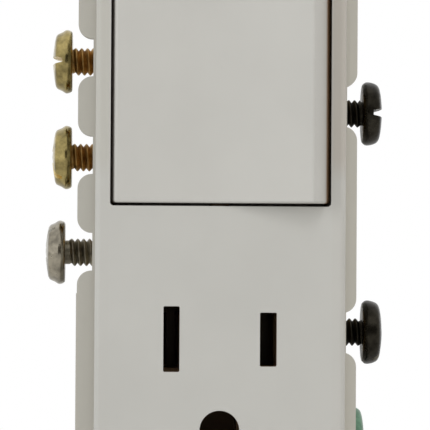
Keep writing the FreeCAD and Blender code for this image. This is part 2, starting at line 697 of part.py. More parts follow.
def hot_runs(front):
    half = STRIP_WIDTH / 2
    level = UPPER_RUN_Z
    low = COMMON_Z + TERMINAL_PLATE_HEIGHT / 2 - STRIP_WIDTH
    riser_end = RISER_X + STRIP_WIDTH
    return [
        strip(PLATE_OUTER_X, RISER_X, low, low + STRIP_WIDTH, front),
        strip(RISER_X, riser_end, low, level + half, front),
        strip(riser_end, -half, level - half, level + half, front),
        strip(-half, half, ARM_Z - ARM_HEIGHT / 2, level, front),
    ]


def jaw_run(side, z0, z1, front):
    """The run from a terminal plate in to the base of a pair of jaws."""
    inner = side * (SLOT_X - JAW_BASE / 2)
    return [
        strip(side * PLATE_OUTER_X, inner, z0, z1, front),
        strip(inner, side * (SLOT_X + JAW_BASE / 2), min(z0, SLOT_CENTRE_Z - JAW_HEIGHT / 2),
              max(z1, SLOT_CENTRE_Z + JAW_HEIGHT / 2), front),
    ]


def neutral_runs(front):
    low = NEUTRAL_Z - TERMINAL_PLATE_HEIGHT / 2
    return jaw_run(-1, low, low + STRIP_WIDTH, front)


def outlet_hot_runs(front):
    return jaw_run(1, HOT_Z - STRIP_WIDTH / 2, HOT_Z + STRIP_WIDTH / 2, front)


def jaws(side):
    """Two sprung leaves that grip a blade from both sides."""
    z0 = SLOT_CENTRE_Z - JAW_HEIGHT / 2
    z1 = SLOT_CENTRE_Z + JAW_HEIGHT / 2
    pinch_y = JAW_FRONT + (STRIP_DEPTH - JAW_FRONT) / 3
    leaves = []
    for hand in (-1, 1):
        path = [
            (side * SLOT_X + hand * (JAW_BASE / 2 - JAW_THICKNESS), STRIP_DEPTH + STRIP_THICKNESS / 2),
            (side * SLOT_X + hand * (JAW_BASE / 2 - JAW_THICKNESS), STRIP_DEPTH - 2 * STRIP_THICKNESS),
            (side * SLOT_X + hand * JAW_PINCH / 2, pinch_y),
            (side * SLOT_X + hand * (JAW_MOUTH / 2 - JAW_THICKNESS), JAW_FRONT),
        ]
        leaves.append(bent_strip(path, hand * JAW_THICKNESS, z0, z1))
    return leaves


def upper_traveller():
    return joined([terminal_plate(-1, UPPER_TRAVELLER_Z)] + upper_traveller_runs(STRIP_DEPTH))


def lower_traveller():
    return joined([terminal_plate(-1, LOWER_TRAVELLER_Z)] + lower_traveller_runs(STRIP_DEPTH))


def neutral_contact():
    return joined([terminal_plate(-1, NEUTRAL_Z)] + neutral_runs(STRIP_DEPTH) + jaws(-1))


def hot_strip():
    half = TERMINAL_PLATE_HEIGHT / 2
    link = box(HOUSING_SIDE_WALL_X, PLATE_OUTER_X, LINK_FRONT, LINK_BACK, HOT_Z + half, COMMON_Z - half)
    middle = (HOT_Z + COMMON_Z) / 2
    tear = LINK_SLOT_LENGTH / 2
    for y in (LINK_FRONT, LINK_BACK - LINK_SLOT_WIDTH):
        link = link.cut(box(HOUSING_SIDE_WALL_X, PLATE_OUTER_X, y, y + LINK_SLOT_WIDTH,
                            middle - tear, middle + tear))
    pin_z0 = ARM_Z - ARM_HEIGHT / 2
    pin_z1 = ARM_Z + ARM_HEIGHT / 2
    pin = rod_z(FULCRUM_RADIUS, pin_z0, pin_z1, 0, FULCRUM_Y)
    neck = FULCRUM_RADIUS * FULCRUM_NECK_SHARE
    ridge = box(-neck, neck, FULCRUM_Y, STRIP_DEPTH, pin_z0, pin_z1)
    plates = [terminal_plate(1, COMMON_Z), terminal_plate(1, HOT_Z), link]
    runs = hot_runs(STRIP_DEPTH) + outlet_hot_runs(STRIP_DEPTH)
    return joined(plates + runs + jaws(1) + [pin, ridge])


def sleeve(margin, y0, y1):
    """The ground contact's U, round the pin and open at the top."""
    half = SLEEVE_WIDTH / 2
    outer = half + SLEEVE_THICKNESS + margin
    floor = GROUND_Z - half
    block = box(-outer, outer, y0, y1, floor - SLEEVE_THICKNESS - margin, GROUND_Z + SLEEVE_ARM)
    lower = [e for e in edges_along(block, Y_AXIS) if e.CenterOfMass.z < GROUND_Z]
    return block.makeFillet(SLEEVE_THICKNESS + SLEEVE_BEND_RADIUS, lower)


def ground_contact():
    half = SLEEVE_WIDTH / 2
    flange_top = GROUND_RIVET_Z + RIVET_HEAD_RADIUS
    plate = box(-half - SLEEVE_THICKNESS, half + SLEEVE_THICKNESS, 0, FLANGE_PLATE,
                GROUND_Z, flange_top)
    pin_space = box(-half, half, 0, SLEEVE_DEPTH, GROUND_Z - half, GROUND_Z + SLEEVE_ARM)
    lower = [e for e in edges_along(pin_space, Y_AXIS) if e.CenterOfMass.z < GROUND_Z]
    pin_space = pin_space.makeFillet(SLEEVE_BEND_RADIUS, lower)
    body = joined([sleeve(0, 0, SLEEVE_DEPTH), plate]).cut(pin_space)
    return body.cut(rod_y(RIVET_RADIUS, 0, FLANGE_PLATE, 0, GROUND_RIVET_Z))


def ground_contact_rivet():
    shank = rod_y(RIVET_RADIUS, STRAP_FRONT, FLANGE_PLATE, 0, GROUND_RIVET_Z)
    heads = [
        rod_y(RIVET_HEAD_RADIUS, STRAP_FRONT - RIVET_HEAD_HEIGHT, STRAP_FRONT, 0, GROUND_RIVET_Z),
        rod_y(RIVET_HEAD_RADIUS, FLANGE_PLATE, FLANGE_PLATE + RIVET_HEAD_HEIGHT, 0, GROUND_RIVET_Z),
    ]
    return joined([shank] + heads)


def strap_outline(end):
    """The neck, ear and tongue past one end of the body."""
    ear_z = end * BOX_SLOT_Z
    neck_z = sorted((0, ear_z))
    tongue_z = sorted((0, end * STRAP_END))
    neck = box(-STRAP_NECK_WIDTH / 2, STRAP_NECK_WIDTH / 2, STRAP_FRONT, 0, *neck_z)
    lobe = rounded_plate(-EAR_WIDTH / 2, EAR_WIDTH / 2, ear_z - EAR_HEIGHT / 2, ear_z + EAR_HEIGHT / 2,
                         EAR_CORNER_RADIUS, STRAP_FRONT, 0)
    tongue = rounded_plate(-TONGUE_WIDTH / 2, TONGUE_WIDTH / 2, *tongue_z,
                           TONGUE_CORNER_RADIUS, STRAP_FRONT, 0)
    return [neck, lobe, tongue]


def ear_cuts(end):
    """The box-screw slot, the wall-plate hole and the score lines of one ear."""
    ear_z = end * BOX_SLOT_Z
    cuts = [
        long_hole(BOX_SLOT_LENGTH, BOX_SLOT_WIDTH, 0, ear_z, STRAP_FRONT, 0),
        rod_y(PLATE_HOLE_RADIUS, STRAP_FRONT, 0, 0, end * PLATE_HOLE_Z),
    ]
    for side in (-1, 1):
        x = side * EAR_SCORE_X
        cuts.append(box(x - EAR_SCORE_WIDTH / 2, x + EAR_SCORE_WIDTH / 2, STRAP_FRONT,
                        STRAP_FRONT + EAR_SCORE_DEPTH, ear_z - EAR_HEIGHT, ear_z + EAR_HEIGHT))
    return cuts


def ground_tab():
    """The strap's tab for the ground screw, bent back along the housing's side."""
    half = TAB_HEIGHT / 2
    z0 = GROUND_SCREW_Z - half
    z1 = GROUND_SCREW_Z + half
    bend = STRAP_THICKNESS + TAB_BEND_RADIUS
    leaf = box(PLATE_OUTER_X - STRAP_THICKNESS, PLATE_OUTER_X, STRAP_FRONT, TAB_DEPTH, z0, z1)
    arm = box(STRAP_HALF_WIDTH - OVERRUN, PLATE_OUTER_X, STRAP_FRONT, 0, z0, z1)
    tab = joined([leaf, arm])
    outer = [
        edge for edge in edges_along(tab, Z_AXIS)
        if edge.CenterOfMass.x > PLATE_OUTER_X - 0.01 and edge.CenterOfMass.y < 0
    ]
    tab = tab.makeFillet(bend, outer)
    return tab.cut(thread_hole(1, GROUND_SCREW_Z))


def mounting_strap():
    plate = box(-STRAP_HALF_WIDTH, STRAP_HALF_WIDTH, STRAP_FRONT, 0, -STRAP_BODY_END, STRAP_BODY_END)
    body = joined([plate] + strap_outline(1) + strap_outline(-1) + [ground_tab()])
    cuts = ear_cuts(1) + ear_cuts(-1)
    cuts.append(stem_window(STRAP_FRONT, 0))
    for side, width, height in BLADE_SLOTS:
        cuts.append(blade_slot(side, width, height, BLADE_WINDOW_MARGIN, STRAP_FRONT, 0))
    cuts.append(rod_y(GROUND_HOLE_RADIUS + GROUND_WINDOW_MARGIN, STRAP_FRONT, 0, 0, GROUND_Z))
    cuts.append(rod_y(RIVET_RADIUS, STRAP_FRONT, 0, 0, GROUND_RIVET_Z))
    for x, z in ASSEMBLY_PLACES:
        cuts.append(rod_y(ASSEMBLY_RADIUS + ASSEMBLY_CLEARANCE, STRAP_FRONT, 0, x, z))
    for side in (-1, 1):
        half = HOOK_WIDTH / 2 + HOOK_SLOT_CLEARANCE
        cuts.append(box(side * HOOK_X - half, side * HOOK_X + half, STRAP_FRONT, 0,
                        HOOK_Z - HOOK_THICKNESS - HOOK_SLOT_CLEARANCE, HOOK_Z + HOOK_CATCH_CLEARANCE))
    return body.cut(cuts)


def separator_outline(clearance):
    """The separator's block, larger by a clearance when it cuts its own seat."""
    half_width = STRAP_HALF_WIDTH - SEPARATOR_MARGIN + clearance
    top = UPPER_TRAVELLER_Z + STRIP_WIDTH / 2 + clearance
    bottom = GROUND_RIVET_Z + RIVET_HEAD_RADIUS + SEAT_GAP - clearance
    return box(-half_width, half_width, 0, SEPARATOR_THICKNESS, bottom, top)


def inner_separator():
    plate = separator_outline(0)
    cuts = [stem_window(0, SEPARATOR_THICKNESS)]
    for side, width, height in BLADE_SLOTS:
        cuts.append(blade_slot(side, width, height, SEPARATOR_SLOT_MARGIN, 0, SEPARATOR_THICKNESS))
    for x, z in ASSEMBLY_PLACES:
        cuts.append(rod_y(ASSEMBLY_RADIUS + ASSEMBLY_CLEARANCE, 0, SEPARATOR_THICKNESS, x, z))
    return plate.cut(cuts)


def housing_pockets():
    """Everything that is open inside the housing, from the strap back."""
    front = SEPARATOR_THICKNESS
    arm_half = ARM_HEIGHT / 2 + POCKET_CLEARANCE
    arm_reach = ARM_HALF_LENGTH + ARM_END_CLEARANCE
    pockets = [box(-arm_reach, arm_reach, front, STRIP_DEPTH, ARM_Z - arm_half, ARM_Z + arm_half)]
    runs = upper_traveller_runs(front) + lower_traveller_runs(front) + hot_runs(front)
    runs += neutral_runs(front) + outlet_hot_runs(front)
    pockets += [run.common(box(-HOUSING_SIDE_WALL_X, HOUSING_SIDE_WALL_X, front, STRIP_BACK,
                               -HOUSING_HALF_HEIGHT, HOUSING_HALF_HEIGHT)) for run in runs]
    jaw_half = JAW_HEIGHT / 2 + POCKET_CLEARANCE
    for side in (-1, 1):
        x = side * SLOT_X
        half = JAW_BASE / 2 + POCKET_CLEARANCE
        pockets.append(box(x - half, x + half, front, STRIP_DEPTH,
                           SLOT_CENTRE_Z - jaw_half, SLOT_CENTRE_Z + jaw_half))
    pockets.append(sleeve(SEAT_GAP, 0, SLEEVE_DEPTH + SLEEVE_END_GAP))
    half = SLEEVE_WIDTH / 2 + SLEEVE_THICKNESS + SEAT_GAP
    pockets.append(box(-half, half, 0, FLANGE_PLATE + RIVET_HEAD_HEIGHT + SEAT_GAP,
                       GROUND_Z, GROUND_RIVET_Z + RIVET_HEAD_RADIUS + SEAT_GAP))
    pockets.append(separator_outline(SEPARATOR_CLEARANCE))
    for side in (-1, 1):
        half = HOOK_WIDTH / 2 + HOOK_SLOT_CLEARANCE
        pockets.append(box(side * HOOK_X - half, side * HOOK_X + half, 0, HOOK_REACH + SEAT_GAP,
                           HOOK_Z - HOOK_THICKNESS - HOOK_SLOT_CLEARANCE, HOUSING_HALF_HEIGHT))
    return pockets


def terminal_cuts(side, z):
    """The wire recess, the plate's seat and the screw's well at one terminal."""
    half = TERMINAL_PLATE_HEIGHT / 2
    return [
        box(side * HOUSING_SIDE_WALL_X, side * (HOUSING_HALF_WIDTH + OVERRUN), SHELF_BACK,
            HOUSING_SHOULDER, z - CHANNEL_HEIGHT / 2, z + CHANNEL_HEIGHT / 2),
        box(side * HOUSING_SIDE_WALL_X, side * PLATE_OUTER_X, HOUSING_SHOULDER, STRIP_BACK,
            z - half, z + half),
        rod_x(WELL_RADIUS, side * (HOUSING_SIDE_WALL_X - WELL_DEPTH), side * HOUSING_SIDE_WALL_X,
              SCREW_AXIS_DEPTH, z),
    ]


def housing_block():
    block = rounded_plate(-HOUSING_HALF_WIDTH, HOUSING_HALF_WIDTH, -HOUSING_HALF_HEIGHT,
                          HOUSING_HALF_HEIGHT, HOUSING_EDGE_RADIUS, 0, HOUSING_DEPTH)
    block = block.makeFillet(HOUSING_EDGE_RADIUS * HOUSING_BACK_SHARE,
                             edges_at(block, Y_AXIS, HOUSING_DEPTH))
    rim_inner = STRAP_HALF_WIDTH + RIM_CLEARANCE
    rims = [
        box(side * rim_inner, side * HOUSING_HALF_WIDTH, STRAP_FRONT, OVERRUN,
            -HOUSING_HALF_HEIGHT + HOUSING_EDGE_RADIUS, HOUSING_HALF_HEIGHT - HOUSING_EDGE_RADIUS)
        for side in (-1, 1)
    ]
    return joined([block] + rims)


def back_recess():
    """The shallow panel sunk in the back, with two ribs left across it."""
    half_width = HOUSING_HALF_WIDTH - BACK_RECESS_MARGIN
    half_height = HOUSING_HALF_HEIGHT - BACK_RECESS_MARGIN
    panel = rounded_plate(-half_width, half_width, -half_height, half_height, BACK_RECESS_RADIUS,
                          HOUSING_DEPTH - BACK_RECESS_DEPTH, HOUSING_DEPTH)
    ribs = [
        box(-HOUSING_HALF_WIDTH, HOUSING_HALF_WIDTH, HOUSING_DEPTH - BACK_RECESS_DEPTH, HOUSING_DEPTH,
            z - BACK_RIB_WIDTH / 2, z + BACK_RIB_WIDTH / 2)
        for z in (-half_height / 3, half_height / 3)
    ]
    return panel.cut(ribs)


def rear_housing():
    cuts = housing_pockets()
    for z in LEFT_TERMINALS:
        cuts += terminal_cuts(-1, z)
    for z in RIGHT_TERMINALS:
        cuts += terminal_cuts(1, z)
    half = TERMINAL_PLATE_HEIGHT / 2
    cuts.append(box(HOUSING_SIDE_WALL_X, PLATE_OUTER_X, LINK_FRONT, LINK_BACK, HOT_Z + half,
                    COMMON_Z - half))

    outside = HOUSING_HALF_WIDTH + OVERRUN
    channel = CHANNEL_HEIGHT / 2
    cuts.append(box(PLATE_OUTER_X, outside, SHELF_BACK, HOUSING_SHOULDER,
                    GROUND_SCREW_Z - channel, GROUND_SCREW_Z + channel))
    tab_space = TAB_HEIGHT / 2 + TAB_CLEARANCE
    cuts.append(box(PLATE_OUTER_X - STRAP_THICKNESS, outside, STRAP_FRONT, TAB_DEPTH + TAB_CLEARANCE,
                    GROUND_SCREW_Z - tab_space, GROUND_SCREW_Z + tab_space))
    cuts.append(box(STRAP_HALF_WIDTH, outside, STRAP_FRONT, 0,
                    GROUND_SCREW_Z - tab_space, GROUND_SCREW_Z + tab_space))
    cuts.append(rod_x(WELL_RADIUS, HOUSING_SIDE_WALL_X - WELL_DEPTH, PLATE_OUTER_X,
                      SCREW_AXIS_DEPTH, GROUND_SCREW_Z))

    cuts.append(back_recess())
    for x, z in ASSEMBLY_PLACES:
        cuts.append(rod_y(ASSEMBLY_RADIUS + ASSEMBLY_CLEARANCE, 0, HOUSING_DEPTH, x, z))
        cuts.append(rod_y(ASSEMBLY_HEAD_RADIUS + ASSEMBLY_CLEARANCE, HOUSING_DEPTH - ASSEMBLY_BORE_DEPTH,
                          HOUSING_DEPTH, x, z))
    return housing_block().cut(cuts)


def assembly_screw(x, z):
    seat = HOUSING_DEPTH - ASSEMBLY_BORE_DEPTH
    shank = rod_y(ASSEMBLY_RADIUS, STRAP_FRONT - ASSEMBLY_REACH, seat, x, z)
    head = rod_y(ASSEMBLY_HEAD_RADIUS, seat, seat + ASSEMBLY_HEAD_HEIGHT, x, z)
    head = head.makeChamfer(ASSEMBLY_HEAD_CHAMFER, edges_at(head, Y_AXIS, seat + ASSEMBLY_HEAD_HEIGHT))
    drive = []
    across, along = ASSEMBLY_DRIVE_LENGTH, ASSEMBLY_DRIVE_WIDTH
    for length, width in ((across, along), (along, across)):
        drive.append(box(x - length / 2, x + length / 2, seat + ASSEMBLY_HEAD_HEIGHT / 2,
                         seat + ASSEMBLY_HEAD_HEIGHT, z - width / 2, z + width / 2))
    return joined([shank, head]).cut(drive)


def assembly_screws():
    return Part.makeCompound([assembly_screw(x, z) for x, z in ASSEMBLY_PLACES])


def terminal_screw(side, out, z, slot_turn):
    """A terminal screw that points inwards, backed out by a distance from its plate."""
    tip = -SCREW_LENGTH
    height = LEFT_HEAD_HEIGHT if side < 0 else RIGHT_HEAD_HEIGHT
    outline = [
        (tip, 0),
        (tip, SCREW_THREAD_RADIUS - SCREW_POINT),
        (tip + SCREW_POINT, SCREW_THREAD_RADIUS),
        (0, SCREW_THREAD_RADIUS),
        (0, HEAD_RADIUS),
        (HEAD_RIM, HEAD_RADIUS),
    ]
    points = [Vector(x, radius, 0) for x, radius in outline]
    crown = Vector(height * CROWN_HEIGHT_SHARE, HEAD_RADIUS * CROWN_RADIUS_SHARE, 0)
    top = Vector(height, 0, 0)
    bulge = (points[-1] + crown) * 0.5 + Vector(HEAD_BULGE, HEAD_BULGE, 0)
    shoulder = Part.Arc(points[-1], bulge, crown)
    cap = Part.Arc(crown, Vector(height * DOME_HEIGHT_SHARE, crown.y / 2, 0), top)
    pieces = [Part.LineSegment(start, end).toShape() for start, end in zip(points, points[1:])]
    pieces += [shoulder.toShape(), cap.toShape(), Part.LineSegment(top, points[0]).toShape()]
    face = Part.Face(Part.Wire(pieces))
    screw = face.revolve(Vector(0, 0, 0), X_AXIS, 360)
    floor = height - DRIVE_SLOT_DEPTH
    half = DRIVE_SLOT_WIDTH / 2
    past = HEAD_RADIUS + OVERRUN
    slot = box(floor, height + OVERRUN, -past, past, -half, half)
    cross = box(floor, height + OVERRUN, -half, half, -CROSS_LENGTH / 2, CROSS_LENGTH / 2)
    screw = screw.cut(joined([slot, cross]))
    screw.rotate(Vector(0, 0, 0), X_AXIS, slot_turn)
    if side < 0:
        screw.rotate(Vector(0, 0, 0), Y_AXIS, 180)
    screw.translate(Vector(side * (PLATE_OUTER_X + out), SCREW_AXIS_DEPTH, z))
    return screw


def nodes():
    """Every piece of the device, by the name of its node."""
    return {
        "front_cover": front_cover(),
        "rear_housing": rear_housing(),
        "mounting_strap": mounting_strap(),
        "inner_separator": inner_separator(),
        "ground_contact": ground_contact(),
        "ground_contact_rivet": ground_contact_rivet(),
        "neutral_contact": neutral_contact(),
        "hot_strip": hot_strip(),
        "upper_traveller": upper_traveller(),
        "lower_traveller": lower_traveller(),
        "left_fixed_contact": fixed_button(-1),
        "right_fixed_contact": fixed_button(1),
        "contact_arm": contact_arm(),
        "left_arm_contact": arm_button(-1),
        "right_arm_contact": arm_button(1),
        "rocker": rocker(),
        "plunger": plunger(),
        "plunger_spring": plunger_spring(),
        "upper_traveller_screw": terminal_screw(
            -1, UPPER_TRAVELLER_OUT, UPPER_TRAVELLER_Z, UPPER_TRAVELLER_TURN),
        "lower_traveller_screw": terminal_screw(
            -1, LOWER_TRAVELLER_OUT, LOWER_TRAVELLER_Z, LOWER_TRAVELLER_TURN),
        "neutral_screw": terminal_screw(-1, NEUTRAL_OUT, NEUTRAL_Z, NEUTRAL_TURN),
        "common_screw": terminal_screw(1, COMMON_OUT, COMMON_Z, COMMON_TURN),
        "hot_screw": terminal_screw(1, HOT_OUT, HOT_Z, HOT_TURN),
        "ground_screw": terminal_screw(1, GROUND_OUT, GROUND_SCREW_Z, GROUND_TURN),
        "assembly_screws": assembly_screws(),
    }


os.makedirs("parts", exist_ok=True)
for name, shape in nodes().items():
    shape.exportStep(os.path.join("parts", name + ".step"))
    print(name, len(shape.Solids), shape.isValid(), round(shape.Volume, 2))
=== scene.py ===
import json
import math

import bmesh
import bpy
from mathutils import Matrix, Vector


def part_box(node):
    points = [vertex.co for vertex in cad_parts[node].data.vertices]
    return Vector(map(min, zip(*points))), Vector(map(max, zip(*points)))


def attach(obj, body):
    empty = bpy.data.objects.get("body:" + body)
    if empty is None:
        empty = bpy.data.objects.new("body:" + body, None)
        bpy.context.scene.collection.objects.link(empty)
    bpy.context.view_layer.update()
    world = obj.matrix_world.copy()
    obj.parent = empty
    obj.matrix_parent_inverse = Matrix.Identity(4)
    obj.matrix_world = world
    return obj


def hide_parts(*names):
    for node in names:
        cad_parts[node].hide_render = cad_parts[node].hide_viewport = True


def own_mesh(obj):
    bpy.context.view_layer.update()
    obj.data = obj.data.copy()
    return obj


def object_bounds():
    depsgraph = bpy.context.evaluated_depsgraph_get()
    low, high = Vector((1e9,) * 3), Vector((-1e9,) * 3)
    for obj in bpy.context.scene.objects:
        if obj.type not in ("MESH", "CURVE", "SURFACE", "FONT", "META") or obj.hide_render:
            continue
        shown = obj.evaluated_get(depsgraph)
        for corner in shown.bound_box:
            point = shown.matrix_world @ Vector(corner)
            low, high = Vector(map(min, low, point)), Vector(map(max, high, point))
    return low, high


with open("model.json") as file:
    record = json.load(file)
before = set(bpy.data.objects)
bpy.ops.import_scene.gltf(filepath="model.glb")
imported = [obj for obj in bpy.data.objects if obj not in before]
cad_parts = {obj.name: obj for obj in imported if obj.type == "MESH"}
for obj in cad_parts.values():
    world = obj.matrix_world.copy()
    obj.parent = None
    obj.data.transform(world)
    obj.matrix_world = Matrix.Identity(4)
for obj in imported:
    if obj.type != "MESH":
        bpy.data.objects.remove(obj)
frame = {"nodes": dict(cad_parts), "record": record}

bl_info = {
    "name": "Switch and socket combination",
    "version": (1, 0, 0),
    "blender": (4, 5, 0),
    "location": "3D View > Sidebar > Device",
    "description": "Finishes, screws and studio for a rocker switch and outlet on one strap",
    "category": "Object",
}

MM = 0.001
CAD_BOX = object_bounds()

COVER_LOW, COVER_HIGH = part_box("front_cover")
ROCKER_LOW, ROCKER_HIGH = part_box("rocker")
HOUSING_LOW, HOUSING_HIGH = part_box("rear_housing")
FACE_FRONT = COVER_LOW.y

JOINTS = {joint["name"]: joint for joint in frame["record"]["behaviour"]["joints"]}
# At rest the rocker lies at one end of its travel, so it is tilted by half of it
ROCKER_TILT = math.radians(JOINTS["rocker_tilt"]["range_deg"][1] / 2)

# The camera, from where the photograph's edges and screws fall in its frame
CAMERA_PLACE = Vector((-11.713, -430.653, -9.327)) * MM
CAMERA_YAW = math.radians(1.4869)
CAMERA_PITCH = math.radians(1.4035)
CAMERA_ROLL = math.radians(-0.3374)
CAMERA_FOCAL_PIXELS = 3228.2
IMAGE_WIDTH = 430
SENSOR_WIDTH = 36

# Each lamp's place and the side of its square in metres, and its colour
LAMPS = {
    "key": ((-0.95, -0.65, 0.3), 0.5, (1, 1, 1)),
    "fill": ((0.6, -0.75, 0.2), 0.7, (1, 0.95, 0.88)),
    "side": ((1.15, -0.35, 0.1), 0.5, (1, 0.9, 0.8)),
    "top": ((0, -0.78, 0.78), 0.35, (1, 1, 1)),
    "back": ((0.2, 0.8, 0.6), 0.8, (1, 1, 1)),
}
# The middles and half sizes of the cards that the screw heads mirror, in metres
DARK_CARD = (0.1, -0.6, -0.03), (0.75, 0.34)
BRIGHT_CARD = (-0.72, -0.41, -0.35), (0.18, 0.18)
FLOOR_RADIUS = 2.5
# How far out the floor starts to fade, and where it is white
FLOOR_FADE = 0.12, 0.42

# Zones of the mouldings, in which one look turns into another. Depths are measured back from
# the cover's front face, or on the rocker from the line of its front corners.
SIDEWAYS_ZONE = -10 * MM, 10 * MM        # the left side's colours turn into the right side's
AGED_SHADED_AND_LIT_DEPTHS = 3 * MM, 5 * MM             # the ageing of the side flanges, with their painted shade and painted light, sets in
SHADED_STRIP_DEPTHS = 2 * MM, 3 * MM           # the strips of painted shade beside the rocker's ends
SHADED_STRIP_HEIGHTS = 5.5 * MM, 8.5 * MM      # they grow stronger upwards
SHADED_STRIP_EDGE = 0 * MM, 0.3 * MM           # they set in, out from the rocker's opening
# Grime with painted shade sets in at these depths, in the cover's opening and on the rocker
COVER_GRIME_AND_SHADE_DEPTHS = 0.25 * MM, 1.1 * MM
ROCKER_GRIME_AND_SHADE_DEPTHS = 2.8 * MM, 3.6 * MM
GAP_SHADE_START_DEPTHS = 0.1 * MM, 0.4 * MM   # the band of painted shade in the gap at the rocker's left end sets in
GAP_SHADE_END_DEPTHS = 1.2 * MM, 2 * MM       # it ends
GAP_SHADE_RIGHT_END = -12 * MM, -11 * MM           # it ends to the right
# The rocker's opening in the cover, and how far past its sides the box of grime and painted shade
# reaches
OPENING_HALF_WIDTH = 14.5 * MM
GRIME_AND_SHADE_MARGIN = 0.4 * MM
# The outer walls that stay clean, and how softly the grime and painted shade inside them ends
COVER_WALL, COVER_GRIME_AND_SHADE_FADE = 0.8 * MM, 0.3 * MM
HOUSING_WALL, HOUSING_GRIME_AND_SHADE_FADE = 1.6 * MM, 0.8 * MM
# How strong the painted shade on the strips is below its zone, and the painted shade in the
# rocker's left gap in its own
FAINT_STRIP_SHADE = 0.1
GAP_SHADE_STRENGTH = 0.75

# Weights on the cover's colour, left and right: for its aged flanges, with painted shade on the
# left and painted light on the right, and for its strips of painted shade
AGED_SHADED_AND_LIT_WEIGHTS = (0.925, 0.90, 0.85), (1.08, 1.05, 0.99)
SHADED_STRIP_WEIGHTS = (0.94, 0.93, 0.90), (0.93, 0.88, 0.84)
# Colour of the painted shade in the gap at the rocker's left end
GAP_SHADE_COLOUR = (0.1, 0.085, 0.065)

# How fine each pattern is, in features to the metre
MOTTLING = 90
SPECKS = 420
GLOSS_CHANGES = 240
ORANGE_PEEL = 900
TARNISH_PATCHES = 700
METAL_GRAIN = 1800
CARD_MOTTLING = 6
# The spans that most of a noise's values lie in, and in which plating turns to tarnish
NOISE_SPAN = 0.3, 0.7
TARNISH_SPAN = 0.35, 0.68
# A moulding's mottled shades, its specks' shade and size in their cells, and the share of the
# specks that is left out on the cover and on the cleaner rocker
MOTTLED_SHADES = 0.975, 1.02
SPECK_SHADE, SPECK_SIZE = 0.62, 0.09
SPECK_THINNING, ROCKER_SPECK_THINNING = 0.93, 0.965
# The specular level of the materials that get grime and painted shade inside the housing
DULLED_SPECULAR = 0.25

# Each metal's colour, roughness and tarnish, where the user's colours don't give them
METALS = {
    "zinc_sheet": ((0.47, 0.465, 0.45), 0.4, (0.38, 0.37, 0.35)),
    "stamped_brass": ((0.56, 0.40, 0.17), 0.36, (0.33, 0.20, 0.08)),
    "silver_alloy": ((0.7, 0.69, 0.66), 0.3, (0.45, 0.43, 0.4)),
    "bright_wire": ((0.5, 0.5, 0.5), 0.3, (0.32, 0.32, 0.32)),
    "tarnished_brass": ((0.56, 0.35, 0.125), 0.45, (0.27, 0.155, 0.055)),
    # For rubbed drive slots, painted lighter to stand in for light in them
    "bare_brass": ((0.8, 0.66, 0.34), 0.3, (0.5, 0.38, 0.16)),
    "dark_zinc": ((0.36, 0.33, 0.25), 0.45, (0.15, 0.13, 0.1)),
    # For rubbed drive slots, painted lighter to stand in for light in them
    "bare_zinc": ((0.7, 0.68, 0.62), 0.3, (0.42, 0.4, 0.35)),
}
# Rolled sheet has its grain along its length
ROLLED_GRAIN = (1, 1, 0.12)

LEFT_SCREWS = ("upper_traveller_screw", "lower_traveller_screw", "neutral_screw")
RIGHT_SCREWS = ("common_screw", "hot_screw", "ground_screw")

# For each screw: how far its drive slot is turned from the front-to-back direction in
# degrees, how far its thread is moved outwards in turns, and its plain neck in millimetres
SCREW_DETAILS = {
    "upper_traveller_screw": (0, 0.22, 0.25),
    "lower_traveller_screw": (-45, 0.29, 0.25),
    "neutral_screw": (53, -0.36, 0.7),
    "common_screw": (0, 0, 0.25),
    "hot_screw": (60, 0.17, 0.25),
    "ground_screw": (28, 0, 0.25),
}
# A screw's material slots, of which the head's faces have the first; the drive slot's faces are
# rubbed bare and painted lighter to stand in for light in the slot
THREAD, WORN_AND_LIT = 1, 2

# The screw heads' outlines: how far above the underside as a share of the height, and
# the radius there as a share of the largest
LOW_HEAD = (
    (0, 0), (0, 0.882), (0.012, 0.918), (0.04, 0.946), (0.085, 0.966), (0.15, 0.985),
    (0.22, 0.996), (0.285, 1), (0.34, 0.992), (0.42, 0.963), (0.5, 0.928), (0.61, 0.897),
    (0.70, 0.873), (0.755, 0.852), (0.80, 0.820), (0.835, 0.772), (0.865, 0.70),
    (0.90, 0.575), (0.935, 0.41), (0.97, 0.22), (1, 0),
)
TALL_HEAD = (
    (0, 0), (0, 0.862), (0.012, 0.9), (0.04, 0.926), (0.085, 0.952), (0.14, 0.982),
    (0.2, 0.995), (0.265, 1), (0.34, 0.997), (0.42, 0.989), (0.515, 0.974), (0.615, 0.952),
    (0.70, 0.924), (0.755, 0.896), (0.80, 0.862), (0.84, 0.810), (0.87, 0.745),
    (0.90, 0.655), (0.93, 0.53), (0.96, 0.36), (0.985, 0.18), (1, 0),
)
HEAD_STEPS = 64
# How far a drive slot's cutter stands over the head and past its rim, and how far from the
# cutter a face still counts as the slot's
CUTTER_OVERHANG = 0.2 * MM
CUTTER_SIDE_ROOM = 0.5 * MM
SLOT_TOLERANCE = 0.002 * MM
# The screws' edges: how wide they are eased, and from which angles they are eased or sharp
EASING = 0.08 * MM
EASING_SEGMENTS = 3
EASED_ANGLE = math.radians(50)
SHARP_ANGLE = math.radians(32)

THREAD_STEPS = 40
# Half the width of the thread's crest, as a share of its pitch
CREST_HALF_FLAT = 0.09
# Turns before the tip and in all beyond the shank's own, which are cut off again
LEAD_TURNS, SPARE_TURNS = 2, 3
TIP_TAPER = 0.5 * MM
# How much the radius falls for each length of taper
TIP_SLOPE = 0.8
BURIED_SHANK = 0.1 * MM

WIRE_SEGMENTS = 12
COIL_STEPS = 36
# Points nearer than this are the same one
SAME_POINT = 1e-7


